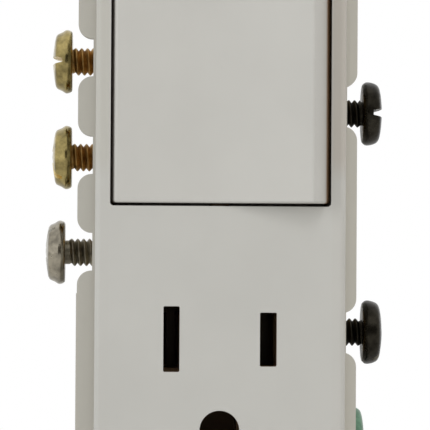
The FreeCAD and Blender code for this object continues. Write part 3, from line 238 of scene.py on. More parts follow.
class TerminalScrewSizes(bpy.types.PropertyGroup):
    """Sizes of the six terminal screws that the frame doesn't give"""

    length: bpy.props.FloatProperty(
        name="Shank length", description="From under the head to the tip",
        default=6.35 * MM, min=3 * MM, max=12 * MM, precision=5, unit="LENGTH")
    crest_radius: bpy.props.FloatProperty(
        name="Thread crest radius", description="Radius over the thread's crests",
        default=1.845 * MM, min=1 * MM, max=3 * MM, precision=5, unit="LENGTH")
    neck_radius: bpy.props.FloatProperty(
        name="Neck radius", description="Radius of the plain neck under the head",
        default=1.6 * MM, min=1 * MM, max=3 * MM, precision=5, unit="LENGTH")
    thread_depth: bpy.props.FloatProperty(
        name="Thread depth", description="From crest to root",
        default=0.4 * MM, min=0.1 * MM, max=1 * MM, precision=5, unit="LENGTH")
    pitch: bpy.props.FloatProperty(
        name="Thread pitch", description="Travel for one turn",
        default=0.794 * MM, min=0.3 * MM, max=2 * MM, precision=6, unit="LENGTH")
    slot_floor: bpy.props.FloatProperty(
        name="Low heads' slot floor",
        description="Width of the slot's floor in the low heads on the left",
        default=0.5 * MM, min=0.3 * MM, max=2 * MM, precision=5, unit="LENGTH")
    slot_mouth: bpy.props.FloatProperty(
        name="Low heads' slot mouth",
        description="Width of the slot's mouth in the low heads on the left",
        default=1.15 * MM, min=0.3 * MM, max=3 * MM, precision=5, unit="LENGTH")
    slot_depth: bpy.props.FloatProperty(
        name="Low heads' slot depth",
        description="Depth of the slot in the low heads on the left",
        default=1.4 * MM, min=0.4 * MM, max=2 * MM, precision=5, unit="LENGTH")
    tall_slot_floor: bpy.props.FloatProperty(
        name="Tall heads' slot floor",
        description="Width of the slot's floor in the tall heads on the right",
        default=0.65 * MM, min=0.3 * MM, max=2 * MM, precision=5, unit="LENGTH")
    tall_slot_mouth: bpy.props.FloatProperty(
        name="Tall heads' slot mouth",
        description="Width of the slot's mouth in the tall heads on the right",
        default=1.3 * MM, min=0.3 * MM, max=3 * MM, precision=5, unit="LENGTH")
    tall_slot_depth: bpy.props.FloatProperty(
        name="Tall heads' slot depth",
        description="Depth of the slot in the tall heads on the right",
        default=1.4 * MM, min=0.4 * MM, max=2 * MM, precision=5, unit="LENGTH")
    cross_length: bpy.props.FloatProperty(
        name="Cross length", description="Length of the short slot across the long one",
        default=4.2 * MM, min=1 * MM, max=7 * MM, precision=5, unit="LENGTH")


class SpringSizes(bpy.types.PropertyGroup):
    """The coil spring in the rocker's stem, before it is pressed"""

    radius: bpy.props.FloatProperty(
        name="Coil radius", description="From the coil's axis to the middle of the wire",
        default=1.45 * MM, min=0.5 * MM, max=5 * MM, precision=5, unit="LENGTH")
    wire: bpy.props.FloatProperty(
        name="Wire radius", description="Radius of the wire",
        default=0.2 * MM, min=0.05 * MM, max=1 * MM, precision=5, unit="LENGTH")
    turns: bpy.props.IntProperty(
        name="Turns", description="Turns from end to end", default=4, min=1, max=20)
    front: bpy.props.FloatProperty(
        name="Front end",
        description="Place of the wire's front end along the stem, with the rocker level",
        default=-6.1 * MM, precision=5, unit="LENGTH")
    length: bpy.props.FloatProperty(
        name="Coil length", description="From the wire's front end to its back end",
        default=5.78 * MM, min=1 * MM, max=30 * MM, precision=5, unit="LENGTH")
    height: bpy.props.FloatProperty(
        name="Axis height", description="Height of the coil's axis",
        default=15.55 * MM, precision=5, unit="LENGTH")


class FinishColours(bpy.types.PropertyGroup):
    """Base colours of the finishes"""

    cover: bpy.props.FloatVectorProperty(
        name="Cover", description="White moulded cover", subtype="COLOR",
        default=(0.51, 0.505, 0.475), min=0, max=1)
    rocker: bpy.props.FloatVectorProperty(
        name="Rocker", description="White moulded rocker", subtype="COLOR",
        default=(0.525, 0.518, 0.487), min=0, max=1)
    housing: bpy.props.FloatVectorProperty(
        name="Housing", description="Moulded rear housing", subtype="COLOR",
        default=(0.44, 0.43, 0.39), min=0, max=1)
    separator: bpy.props.FloatVectorProperty(
        name="Separator", description="Dark fibre plate inside the housing", subtype="COLOR",
        default=(0.05, 0.045, 0.04), min=0, max=1)
    plunger: bpy.props.FloatVectorProperty(
        name="Plunger", description="Moulded plunger in the rocker's stem", subtype="COLOR",
        default=(0.68, 0.66, 0.6), min=0, max=1)
    # Grime with painted shade, down in the gaps and slots and inside the housing
    grime_and_shade: bpy.props.FloatVectorProperty(
        name="Grime", description="Dust and grime down in the gaps and slots", subtype="COLOR",
        default=(0.22, 0.135, 0.07), min=0, max=1)
    brass: bpy.props.FloatVectorProperty(
        name="Brass", description="Brass-plated screw heads", subtype="COLOR",
        default=(0.42, 0.335, 0.135), min=0, max=1)
    zinc: bpy.props.FloatVectorProperty(
        name="Zinc", description="Dull zinc plating", subtype="COLOR",
        default=(0.37, 0.335, 0.265), min=0, max=1)
    black: bpy.props.FloatVectorProperty(
        name="Black oxide", description="Blackened screws", subtype="COLOR",
        default=(0.028, 0.025, 0.019), min=0, max=1)
    # The blackened screws' drive slots: rubbed bare, and painted lighter to stand in for light in
    # them
    rubbed_black: bpy.props.FloatVectorProperty(
        name="Rubbed black", description="Drive slots of the blackened screws", subtype="COLOR",
        default=(0.2, 0.185, 0.15), min=0, max=1)
    green: bpy.props.FloatVectorProperty(
        name="Green", description="Green ground screw", subtype="COLOR",
        default=(0.15, 0.265, 0.18), min=0, max=1)


class StudioSettings(bpy.types.PropertyGroup):
    """Lamps and surroundings"""

    key_power: bpy.props.FloatProperty(
        name="Key lamp", description="Power of the soft lamp at the left",
        default=4.4, min=0, unit="POWER")
    fill_power: bpy.props.FloatProperty(
        name="Fill lamp", description="Power of the soft lamp at the right",
        default=1.1, min=0, unit="POWER")
    side_power: bpy.props.FloatProperty(
        name="Side lamp", description="Power of the warm lamp far round to the right",
        default=1.3, min=0, unit="POWER")
    top_power: bpy.props.FloatProperty(
        name="Top lamp", description="Power of the soft lamp above",
        default=2.2, min=0, unit="POWER")
    back_power: bpy.props.FloatProperty(
        name="Back lamp", description="Power of the soft lamp behind the device",
        default=4.0, min=0, unit="POWER")
    ambient: bpy.props.FloatProperty(
        name="Ambient", description="Strength of the even light from all round",
        default=0.525, min=0, max=2)


# Shader nodes


def shade(colour, factor):
    return tuple(channel * factor for channel in colour)


def weighted(colour, weights):
    return tuple(channel * weight for channel, weight in zip(colour, weights))


def new_material(name, colour, roughness, metallic=0.0, specular=0.5):
    """A material with its shader's constant values set, and the parts to build on."""
    material = bpy.data.materials.new(name)
    material.use_nodes = True
    tree = material.node_tree
    shader = tree.nodes["Principled BSDF"]
    shader.inputs["Base Color"].default_value = (*colour, 1)
    shader.inputs["Roughness"].default_value = roughness
    shader.inputs["Metallic"].default_value = metallic
    shader.inputs["Specular IOR Level"].default_value = specular
    return material, tree, shader


def object_coordinates(tree):
    return tree.nodes.new("ShaderNodeTexCoord").outputs["Object"]


def coordinate(tree, axis):
    """One of the object coordinates, in metres."""
    split = tree.nodes.new("ShaderNodeSeparateXYZ")
    tree.links.new(object_coordinates(tree), split.inputs["Vector"])
    return split.outputs[axis]


def calculated(tree, operation, *values):
    """A Math node's result from sockets and plain numbers."""
    node = tree.nodes.new("ShaderNodeMath")
    node.operation = operation
    for socket, value in zip(node.inputs, values):
        if isinstance(value, bpy.types.NodeSocket):
            tree.links.new(value, socket)
        else:
            socket.default_value = value
    return node.outputs["Value"]


def multiplied(tree, first, *masks):
    """The product of several masks."""
    for mask in masks:
        first = calculated(tree, "MULTIPLY", first, mask)
    return first


def remapped(tree, value, low, high, to_low, to_high):
    """Maps a value's span to another one, and stays within it."""
    node = tree.nodes.new("ShaderNodeMapRange")
    node.inputs["From Min"].default_value = low
    node.inputs["From Max"].default_value = high
    node.inputs["To Min"].default_value = to_low
    node.inputs["To Max"].default_value = to_high
    tree.links.new(value, node.inputs["Value"])
    return node.outputs["Result"]


def rising(tree, value, zone, start=0):
    """A mask that rises from 0 to 1 through a zone, which is measured from a start."""
    return remapped(tree, value, start + zone[0], start + zone[1], 0, 1)


def falling(tree, value, zone, start=0):
    """A mask that falls from 1 to 0 through a zone, which is measured from a start."""
    return remapped(tree, value, start + zone[0], start + zone[1], 1, 0)


def mixed(tree, factor, first, second):
    """A colour between two, each a socket or a plain colour."""
    node = tree.nodes.new("ShaderNodeMix")
    node.data_type = "RGBA"
    tree.links.new(factor, node.inputs["Factor"])
    for socket, colour in ((node.inputs[6], first), (node.inputs[7], second)):
        if isinstance(colour, bpy.types.NodeSocket):
            tree.links.new(colour, socket)
        else:
            socket.default_value = (*colour, 1)
    return node.outputs[2]


def retinted(material, factor, colour):
    """Lays a colour over a material's own by a factor between 0 and 1."""
    tree = material.node_tree
    base = tree.nodes["Principled BSDF"].inputs["Base Color"]
    tree.links.new(mixed(tree, factor, base.links[0].from_socket, colour), base)


def noise(tree, fineness, detail=3.0, roughness=0.5, stretch=None):
    """Noise on object coordinates, with so many features to the metre."""
    texture = tree.nodes.new("ShaderNodeTexNoise")
    texture.inputs["Scale"].default_value = fineness
    texture.inputs["Detail"].default_value = detail
    texture.inputs["Roughness"].default_value = roughness
    place = object_coordinates(tree)
    if stretch:
        mapping = tree.nodes.new("ShaderNodeMapping")
        mapping.inputs["Scale"].default_value = stretch
        tree.links.new(place, mapping.inputs["Vector"])
        place = mapping.outputs["Vector"]
    tree.links.new(place, texture.inputs["Vector"])
    return texture.outputs["Fac"]


def varied(tree, socket, texture, low, high):
    """Lets a noise move a shader's value between two."""
    tree.links.new(remapped(tree, texture, *NOISE_SPAN, low, high), socket)


def specks(tree, fineness, size, thinning):
    """A mask of small specks: cells' centres, of which the thinning leaves out its share."""
    cells = tree.nodes.new("ShaderNodeTexVoronoi")
    cells.inputs["Scale"].default_value = fineness
    tree.links.new(object_coordinates(tree), cells.inputs["Vector"])
    near = remapped(tree, cells.outputs["Distance"], size * 0.5, size, 1, 0)
    chosen = tree.nodes.new("ShaderNodeSeparateColor")
    tree.links.new(cells.outputs["Color"], chosen.inputs["Color"])
    kept = remapped(tree, chosen.outputs["Red"], thinning, thinning + 0.02, 0, 1)
    return multiplied(tree, near, kept)


def inside_box(tree, low, high, fade):
    """A mask that is 1 inside a box and falls to 0 at its sides."""
    sides = []
    for axis, start, end in zip("XYZ", low, high):
        offset = calculated(tree, "SUBTRACT", coordinate(tree, axis), (start + end) / 2)
        half = (end - start) / 2
        distance = calculated(tree, "ABSOLUTE", offset)
        sides.append(remapped(tree, distance, half - fade, half, 1, 0))
    return multiplied(tree, *sides)


def bumped(tree, shader, height, distance, strength):
    """Raises a surface by a height pattern, as far as the distance."""
    node = tree.nodes.new("ShaderNodeBump")
    node.inputs["Distance"].default_value = distance
    node.inputs["Strength"].default_value = strength
    tree.links.new(height, node.inputs["Height"])
    tree.links.new(node.outputs["Normal"], shader.inputs["Normal"])


# Finishes


def moulded_plastic(name, colour, roughness, speck_thinning=SPECK_THINNING):
    """Smooth moulding: faint mottling, a slight orange peel and a few specks of dirt."""
    material, tree, shader = new_material(name, colour, roughness, specular=0.4)
    mottle = rising(tree, noise(tree, MOTTLING, detail=4), NOISE_SPAN)
    base = mixed(tree, mottle, *(shade(colour, factor) for factor in MOTTLED_SHADES))
    dirt = specks(tree, SPECKS, SPECK_SIZE, speck_thinning)
    tint = mixed(tree, dirt, base, shade(colour, SPECK_SHADE))
    tree.links.new(tint, shader.inputs["Base Color"])
    varied(tree, shader.inputs["Roughness"], noise(tree, GLOSS_CHANGES),
           low=roughness - 0.05, high=roughness + 0.07)
    bumped(tree, shader, noise(tree, ORANGE_PEEL, detail=2), distance=0.02 * MM, strength=0.35)
    return material


def plated_metal(name, colour, roughness, tarnish, grain=(1, 1, 1)):
    """Plating with fine grain, uneven tarnish and slight scuffs."""
    material, tree, shader = new_material(name, colour, roughness, metallic=1.0)
    patches = noise(tree, TARNISH_PATCHES, detail=5, roughness=0.6)
    tarnished = rising(tree, patches, TARNISH_SPAN)
    tree.links.new(mixed(tree, tarnished, colour, tarnish), shader.inputs["Base Color"])
    fine = noise(tree, METAL_GRAIN, detail=4, roughness=0.6, stretch=grain)
    varied(tree, shader.inputs["Roughness"], fine, low=roughness - 0.08, high=roughness + 0.12)
    bumped(tree, shader, fine, distance=0.03 * MM, strength=0.5)
    return material


def cover_plastic(name, colour, grime_and_shade, roughness):
    """The cover's moulding: aged on its side flanges, with painted shade on the left ones and
    painted light on the right ones; painted shade on the strips beside the rocker; and grime with
    painted shade down in its opening and slots."""
    material = moulded_plastic(name, colour, roughness)
    tree = material.node_tree
    depth = coordinate(tree, "Y")
    across = coordinate(tree, "X")
    rightwards = rising(tree, across, SIDEWAYS_ZONE)

    # The side flanges: aged, with painted shade on the left and painted light on the right
    aged_shaded_and_lit_colour = mixed(tree, rightwards, *(weighted(colour, side) for side in AGED_SHADED_AND_LIT_WEIGHTS))
    retinted(material, rising(tree, depth, AGED_SHADED_AND_LIT_DEPTHS, FACE_FRONT), aged_shaded_and_lit_colour)

    # Painted shade on the strips beside the rocker's opening, deeper on the right and stronger
    # upwards
    beside_rocker = rising(tree, calculated(tree, "ABSOLUTE", across), SHADED_STRIP_EDGE,
                           OPENING_HALF_WIDTH)
    upwards = remapped(tree, coordinate(tree, "Z"), *SHADED_STRIP_HEIGHTS, FAINT_STRIP_SHADE, 1)
    front = falling(tree, depth, SHADED_STRIP_DEPTHS, FACE_FRONT)
    strip_shade_colour = mixed(tree, rightwards, *(weighted(colour, side) for side in SHADED_STRIP_WEIGHTS))
    retinted(material, multiplied(tree, beside_rocker, upwards, front), strip_shade_colour)

    # Grime with painted shade down in the opening and slots
    beside_opening = COVER_HIGH.x - OPENING_HALF_WIDTH - GRIME_AND_SHADE_MARGIN
    wall = Vector((beside_opening, 0, COVER_WALL))
    inside = inside_box(tree, COVER_LOW + wall, COVER_HIGH - wall, COVER_GRIME_AND_SHADE_FADE)
    deep = rising(tree, depth, COVER_GRIME_AND_SHADE_DEPTHS, FACE_FRONT)
    retinted(material, multiplied(tree, inside, deep), grime_and_shade)
    return material


def rocker_plastic(name, colour, grime_and_shade, roughness):
    """The rocker's moulding: grime with painted shade only where it stays below the cover's face
    at either tilt, and a band of painted shade in the gap below the corner of its left end."""
    material = moulded_plastic(name, colour, roughness, ROCKER_SPECK_THINNING)
    tree = material.node_tree
    inward = Vector((math.sin(ROCKER_TILT), math.cos(ROCKER_TILT), 0))
    along = tree.nodes.new("ShaderNodeVectorMath")
    along.operation = "DOT_PRODUCT"
    along.inputs[1].default_value = inward
    tree.links.new(object_coordinates(tree), along.inputs[0])
    depth = along.outputs["Value"]
    corner = inward.dot(Vector((ROCKER_HIGH.x, ROCKER_LOW.y, 0)))
    # Grime with painted shade where the rocker stays below the cover's face
    retinted(material, rising(tree, depth, ROCKER_GRIME_AND_SHADE_DEPTHS, corner), grime_and_shade)

    # A band of painted shade in the gap at the rocker's left end
    left_end = remapped(tree, coordinate(tree, "X"), *GAP_SHADE_RIGHT_END, GAP_SHADE_STRENGTH, 0)
    below_corner = rising(tree, depth, GAP_SHADE_START_DEPTHS, corner)
    above_middle = falling(tree, depth, GAP_SHADE_END_DEPTHS, corner)
    retinted(material, multiplied(tree, left_end, below_corner, above_middle), GAP_SHADE_COLOUR)
    return material


def grime_and_shade_inside(material, grime_and_shade):
    """Darkens and dulls a material inside the housing with grime and painted shade."""
    tree = material.node_tree
    shader = tree.nodes["Principled BSDF"]
    shader.inputs["Specular IOR Level"].default_value = DULLED_SPECULAR
    wall = Vector((HOUSING_WALL, HOUSING_WALL, HOUSING_WALL))
    front_corner = Vector((HOUSING_LOW.x, COVER_LOW.y, HOUSING_LOW.z))
    mask = inside_box(tree, front_corner + wall, HOUSING_HIGH - wall, HOUSING_GRIME_AND_SHADE_FADE)
    # Grime with painted shade inside the housing; metals lose their shine there
    retinted(material, mask, grime_and_shade)
    if shader.inputs["Metallic"].default_value:
        tree.links.new(remapped(tree, mask, 0, 1, 1, 0), shader.inputs["Metallic"])
    return material


# Meshes


def mesh_of(shape, name):
    """Turns a bmesh into a mesh, and frees it."""
    mesh = bpy.data.meshes.new(name)
    shape.to_mesh(mesh)
    shape.free()
    return mesh


def added(name, data):
    """Adds an object to the scene."""
    item = bpy.data.objects.new(name, data)
    bpy.context.scene.collection.objects.link(item)
    return item


def finished_piece(name, mesh, materials, body, nodes):
    """Adds a mesh as an object that rides on a body and stands for its CAD nodes."""
    piece = added(name, mesh)
    for material in materials:
        mesh.materials.append(material)
    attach(piece, body)
    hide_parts(*nodes)
    return piece


def carried(node, material):
    """Gives a CAD node its finish."""
    node_object = frame["nodes"][node]
    node_object.data.materials.clear()
    node_object.data.materials.append(material)


def revolved(shape, profile):
    """Adds a solid of revolution about X, from (x, radius) points that start and end on it."""
    verts = [shape.verts.new((x, radius, 0)) for x, radius in profile]
    edges = [shape.edges.new(pair) for pair in zip(verts, verts[1:])]
    bmesh.ops.spin(shape, geom=verts + edges, cent=(0, 0, 0), axis=(1, 0, 0), dvec=(0, 0, 0),
                   angle=2 * math.pi, steps=HEAD_STEPS, use_merge=True)
    bmesh.ops.remove_doubles(shape, verts=shape.verts, dist=SAME_POINT)
    bmesh.ops.recalc_face_normals(shape, faces=shape.faces)


def cutter_wedge(size, mouth, centre, turn):
    """A wedge to cut a drive slot with, wider at its mouth and turned about the screw's axis."""
    shape = bmesh.new()
    bmesh.ops.create_cube(shape, size=1)
    outer = [vert for vert in shape.verts if vert.co.x > 0]
    bmesh.ops.scale(shape, vec=(1, *mouth), verts=outer)
    bmesh.ops.scale(shape, vec=size, verts=shape.verts)
    bmesh.ops.translate(shape, vec=centre, verts=shape.verts)
    bmesh.ops.rotate(shape, cent=(0, 0, 0), matrix=Matrix.Rotation(turn, 3, "X"),
                     verts=shape.verts)
    return mesh_of(shape, "drive")


def cut(mesh, cutter_mesh):
    """The mesh less the cutter, as a new mesh."""
    body = added("cut_body", mesh)
    cutter = added("cutter", cutter_mesh)
    modifier = body.modifiers.new("cut", "BOOLEAN")
    modifier.operation = "DIFFERENCE"
    modifier.solver = "EXACT"
    modifier.object = cutter
    graph = bpy.context.evaluated_depsgraph_get()
    result = bpy.data.meshes.new_from_object(body.evaluated_get(graph))
    for item in (body, cutter):
        bpy.data.objects.remove(item)
    for spent in (mesh, cutter_mesh):
        bpy.data.meshes.remove(spent)
    return result


def screw_head(outline, radius, height, slot, cross_length, turn):
    """The head on its own, its underside at x = 0, with its slot and cross cut."""
    shape = bmesh.new()
    revolved(shape, [(rise * height, share * radius) for rise, share in outline])
    mesh = mesh_of(shape, "head")
    floor_width, mouth_width, depth = slot
    flare = mouth_width / floor_width
    reach = depth + CUTTER_OVERHANG
    centre = (height - depth / 2 + CUTTER_OVERHANG / 2, 0, 0)
    long_slot = (reach, 2 * (radius + CUTTER_SIDE_ROOM), floor_width), (1, flare)
    short_slot = (reach, floor_width, cross_length), (flare, 1)
    for size, mouth in (long_slot, short_slot):
        mesh = cut(mesh, cutter_wedge(size, mouth, centre, turn))

    def in_slot(point):
        point = Matrix.Rotation(-turn, 3, "X") @ point
        rise = (point.x - height + depth) / reach
        half = floor_width / 2 * (1 + (flare - 1) * rise) + SLOT_TOLERANCE
        across = abs(point.z) < half
        along = abs(point.y) < half and abs(point.z) < cross_length / 2 + SLOT_TOLERANCE
        return point.x > height - depth - SLOT_TOLERANCE and (across or along)

    # The drive slot's faces get the rubbed finish, painted lighter to stand in for light in the
    # slot
    for face in mesh.polygons:
        if all(in_slot(mesh.vertices[index].co) for index in face.vertices):
            face.material_index = WORN_AND_LIT
    return mesh


def threaded_shank(sizes, shift, neck_length):
    """A screw thread along -X from x = 0, made by a spin that climbs one pitch a turn."""
    shape = bmesh.new()
    length, pitch, crest = sizes.length, sizes.pitch, sizes.crest_radius
    root = crest - sizes.thread_depth
    start = -length + (shift - LEAD_TURNS) * pitch
    profile = [
        (start, root),
        (start + pitch * (0.5 - CREST_HALF_FLAT), crest),
        (start + pitch * (0.5 + CREST_HALF_FLAT), crest),
        (start + pitch, root),
    ]
    verts = [shape.verts.new((x, radius, 0)) for x, radius in profile]
    edges = [shape.edges.new(pair) for pair in zip(verts, verts[1:])]
    turns = math.ceil(length / pitch) + SPARE_TURNS
    bmesh.ops.spin(shape, geom=verts + edges, cent=(0, 0, 0), axis=(1, 0, 0),
                   dvec=(pitch / THREAD_STEPS, 0, 0), angle=2 * math.pi * turns,
                   steps=turns * THREAD_STEPS, use_merge=False)
    bmesh.ops.remove_doubles(shape, verts=shape.verts, dist=pitch * 0.01)
    for place, normal in ((-length, (-1, 0, 0)), (BURIED_SHANK, (1, 0, 0))):
        geometry = shape.verts[:] + shape.edges[:] + shape.faces[:]
        made = bmesh.ops.bisect_plane(shape, geom=geometry, plane_co=(place, 0, 0),
                                      plane_no=normal, clear_outer=True)
        rim = [item for item in made["geom_cut"] if isinstance(item, bmesh.types.BMEdge)]
        bmesh.ops.contextual_create(shape, geom=rim)
    for vert in shape.verts:
        into_tip = max(0, TIP_TAPER - length - vert.co.x)
        radius = math.hypot(vert.co.y, vert.co.z)
        wanted = min(radius, crest - into_tip * TIP_SLOPE)
        if vert.co.x > -neck_length:
            wanted = sizes.neck_radius
        if radius > 0:
            vert.co.y *= wanted / radius
            vert.co.z *= wanted / radius
    bmesh.ops.recalc_face_normals(shape, faces=shape.faces)
    return shape


def terminal_screw(name, side, sizes, materials, slot):
    """A detailed screw in the place of its CAD node, its head on the left or the right side."""
    low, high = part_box(name)
    radius = (high.z - low.z) / 2
    height = (high.x - low.x) - sizes.length
    under_head = (high.x if side > 0 else low.x) - side * height
    turn, shift, neck = SCREW_DETAILS[name]

    if side < 0:
        outline, drive = LOW_HEAD, (sizes.slot_floor, sizes.slot_mouth, sizes.slot_depth)
    else:
        outline = TALL_HEAD
        drive = sizes.tall_slot_floor, sizes.tall_slot_mouth, sizes.tall_slot_depth
    head = screw_head(outline, radius, height, drive, sizes.cross_length, math.radians(turn))
    shape = threaded_shank(sizes, shift, neck * MM)
    for face in shape.faces:
        face.material_index = THREAD
    shape.from_mesh(head)
    bpy.data.meshes.remove(head)
    place = Matrix.Translation((under_head, (high.y + low.y) / 2, (high.z + low.z) / 2))
    if side < 0:
        place = place @ Matrix.Rotation(math.pi, 4, "Y")
    bmesh.ops.transform(shape, matrix=place, verts=shape.verts)
    mesh = mesh_of(shape, name + "_detailed")
    mesh.shade_smooth()
    mesh.set_sharp_from_angle(angle=SHARP_ANGLE)
    piece = finished_piece(name + "_detailed", mesh, materials, name + "_body", (name,))
    ease = piece.modifiers.new("eased_edges", "BEVEL")
    ease.width = EASING
    ease.segments = EASING_SEGMENTS
    ease.limit_method = "ANGLE"
    ease.angle_limit = EASED_ANGLE
    ease.harden_normals = False


def coil_spring(sizes, material):
    """The plunger's spring, a round wire swept by a spin that climbs."""
    shape = bmesh.new()
    bmesh.ops.create_circle(shape, cap_ends=False, radius=sizes.wire, segments=WIRE_SEGMENTS)
    bmesh.ops.translate(shape, vec=(sizes.radius, 0, 0), verts=shape.verts)
    steps = sizes.turns * COIL_STEPS
    bmesh.ops.spin(shape, geom=shape.verts[:] + shape.edges[:], cent=(0, 0, 0), axis=(0, 1, 0),
                   dvec=(0, sizes.length / steps, 0), angle=2 * math.pi * sizes.turns,
                   steps=steps, use_merge=False)
    bmesh.ops.holes_fill(shape, edges=shape.edges)
    bmesh.ops.remove_doubles(shape, verts=shape.verts, dist=SAME_POINT)
    bmesh.ops.recalc_face_normals(shape, faces=shape.faces)
    bmesh.ops.translate(shape, vec=(0, sizes.front, sizes.height), verts=shape.verts)
    pivot = Vector(JOINTS["rocker_tilt"]["pos_m"])
    tip = Matrix.Rotation(-ROCKER_TILT, 3, "Z")
    bmesh.ops.rotate(shape, cent=pivot, matrix=tip, verts=shape.verts)
    mesh = mesh_of(shape, "plunger_coil")
    mesh.shade_smooth()
    spring = finished_piece("plunger_coil", mesh, (material,), "rocker_body",
                            ("plunger_spring",))
    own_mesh(spring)


# The studio


def floor():
    """A pale floor that keeps the device's shadow and fades to white away from it."""
    shape = bmesh.new()
    bmesh.ops.create_circle(shape, cap_ends=True, radius=FLOOR_RADIUS, segments=96)
    bmesh.ops.translate(shape, vec=(0, 0, CAD_BOX[0].z), verts=shape.verts)
    mesh = mesh_of(shape, "floor")
    plane = added("floor", mesh)

    material, tree, shader = new_material("pale_floor", (0.8, 0.8, 0.79), 0.8, specular=0.2)
    distance = tree.nodes.new("ShaderNodeVectorMath")
    distance.operation = "LENGTH"
    tree.links.new(object_coordinates(tree), distance.inputs[0])
    away = rising(tree, distance.outputs["Value"], FLOOR_FADE)
    path = tree.nodes.new("ShaderNodeLightPath")
    seen = multiplied(tree, away, path.outputs["Is Camera Ray"])
    white = tree.nodes.new("ShaderNodeEmission")
    white.inputs["Color"].default_value = (1, 1, 1, 1)
    white.inputs["Strength"].default_value = 1
    blend = tree.nodes.new("ShaderNodeMixShader")
    tree.links.new(seen, blend.inputs["Fac"])
    tree.links.new(shader.outputs["BSDF"], blend.inputs[1])
    tree.links.new(white.outputs["Emission"], blend.inputs[2])
    tree.links.new(blend.outputs["Shader"], tree.nodes["Material Output"].inputs["Surface"])
    mesh.materials.append(material)


def mirrored_card(name, place, half_size, facing, material):
    """A card that only mirrored rays meet."""
    shape = bmesh.new()
    bmesh.ops.create_grid(shape, x_segments=1, y_segments=1, size=1)
    bmesh.ops.scale(shape, vec=(*half_size, 1), verts=shape.verts)
    turned = facing.to_track_quat("Z", "Y").to_matrix().to_4x4()
    bmesh.ops.transform(shape, matrix=Matrix.Translation(place) @ turned, verts=shape.verts)
    mesh = mesh_of(shape, name)
    card = added(name, mesh)
    mesh.materials.append(material)
    for ray in ("camera", "diffuse", "shadow", "transmission"):
        setattr(card, "visible_" + ray, False)


def mirrored_cards():
    """An upright dark card behind the camera, and a bright one at the lower left."""
    dark, tree, shader = new_material("dark_card", (0.14, 0.13, 0.11), 0.9, specular=0.1)
    varied(tree, shader.inputs["Roughness"], noise(tree, CARD_MOTTLING), low=0.85, high=0.95)
    place, half_size = Vector(DARK_CARD[0]), DARK_CARD[1]
    mirrored_card("camera_card", place, half_size, Vector((place.x, place.y, 0)), dark)

    bright, tree, shader = new_material("bright_card", (0, 0, 0), 0.9, specular=0)
    shader.inputs["Emission Color"].default_value = (1, 1, 1, 1)
    varied(tree, shader.inputs["Emission Strength"], noise(tree, CARD_MOTTLING),
           low=1.6, high=1.8)
    place, half_size = Vector(BRIGHT_CARD[0]), BRIGHT_CARD[1]
    mirrored_card("bright_card", place, half_size, place, bright)


def lamp(name, place, size, power, colour):
    """A soft square lamp that points at the device."""
    data = bpy.data.lights.new(name, "AREA")
    data.color = colour
    data.shape = "SQUARE"
    data.size = size
    data.energy = power
    item = added(name, data)
    item.location = place
    item.rotation_euler = (-place).to_track_quat("-Z", "Y").to_euler()
    item.visible_camera = False
    item.visible_glossy = False


def surroundings(ambient):
    """Even light from all round, with white behind the device wherever it is seen or mirrored."""
    world = bpy.data.worlds.new("studio")
    world.use_nodes = True
    tree = world.node_tree
    background = tree.nodes["Background"]
    path = tree.nodes.new("ShaderNodeLightPath")
    seen = path.outputs["Is Camera Ray"]
    for ray in ("Is Glossy Ray", "Is Transmission Ray"):
        seen = calculated(tree, "MAXIMUM", seen, path.outputs[ray])
    background.inputs["Color"].default_value = (1, 1, 1, 1)
    tree.links.new(remapped(tree, seen, 0, 1, ambient, 1), background.inputs["Strength"])
    bpy.context.scene.world = world


def camera():
    """The photograph's camera, placed and turned to match its frame."""
    data = bpy.data.cameras.new("camera")
    data.sensor_width = SENSOR_WIDTH
    data.lens = CAMERA_FOCAL_PIXELS * SENSOR_WIDTH / IMAGE_WIDTH
    data.clip_start = 0.01
    data.clip_end = 20
    item = added("camera", data)
    yaw, pitch, roll = CAMERA_YAW, CAMERA_PITCH, CAMERA_ROLL
    forward = Vector((math.cos(pitch) * math.sin(yaw), math.cos(pitch) * math.cos(yaw),
                      math.sin(pitch)))
    level = Vector((math.cos(yaw), -math.sin(yaw), 0))
    above = level.cross(forward)
    right = level * math.cos(roll) - above * math.sin(roll)
    up = level * math.sin(roll) + above * math.cos(roll)
    turned = Matrix((right, up, -forward)).transposed()
    item.matrix_world = Matrix.Translation(CAMERA_PLACE) @ turned.to_4x4()
    bpy.context.scene.camera = item


# Operators


class DEVICE_OT_studio(bpy.types.Operator):
    """Set up the floor, the lamps, the surroundings and the camera"""

    bl_idname = "device.studio"
    bl_label = "Studio"

    def execute(self, context):
        studio = context.scene.device_studio
        floor()
        for name, (place, size, colour) in LAMPS.items():
            power = getattr(studio, name + "_power")
            lamp(name + "_lamp", Vector(place), size, power, colour)
        mirrored_cards()
        surroundings(studio.ambient)
        camera()
        context.scene.view_settings.view_transform = "Standard"
        return {"FINISHED"}


class DEVICE_OT_mouldings(bpy.types.Operator):
    """Finish the cover, the rocker, the rear housing and the inner mouldings"""

    bl_idname = "device.mouldings"
    bl_label = "Mouldings"

    def execute(self, context):
        colours = context.scene.device_colours
        grime_and_shade = tuple(colours.grime_and_shade)
        cover = cover_plastic("cover_moulding", tuple(colours.cover), grime_and_shade, roughness=0.42)
        carried("front_cover", cover)
        rocker = rocker_plastic("rocker_moulding", tuple(colours.rocker), grime_and_shade, roughness=0.38)
        carried("rocker", rocker)
        housing = moulded_plastic("housing_moulding", tuple(colours.housing), roughness=0.55)
        # Grime with painted shade inside the housing
        carried("rear_housing", grime_and_shade_inside(housing, grime_and_shade))
        separator = moulded_plastic("separator_fibre", tuple(colours.separator), roughness=0.8)
        carried("inner_separator", separator)
        plunger = moulded_plastic("plunger_moulding", tuple(colours.plunger), roughness=0.5)
        carried("plunger", plunger)
        return {"FINISHED"}


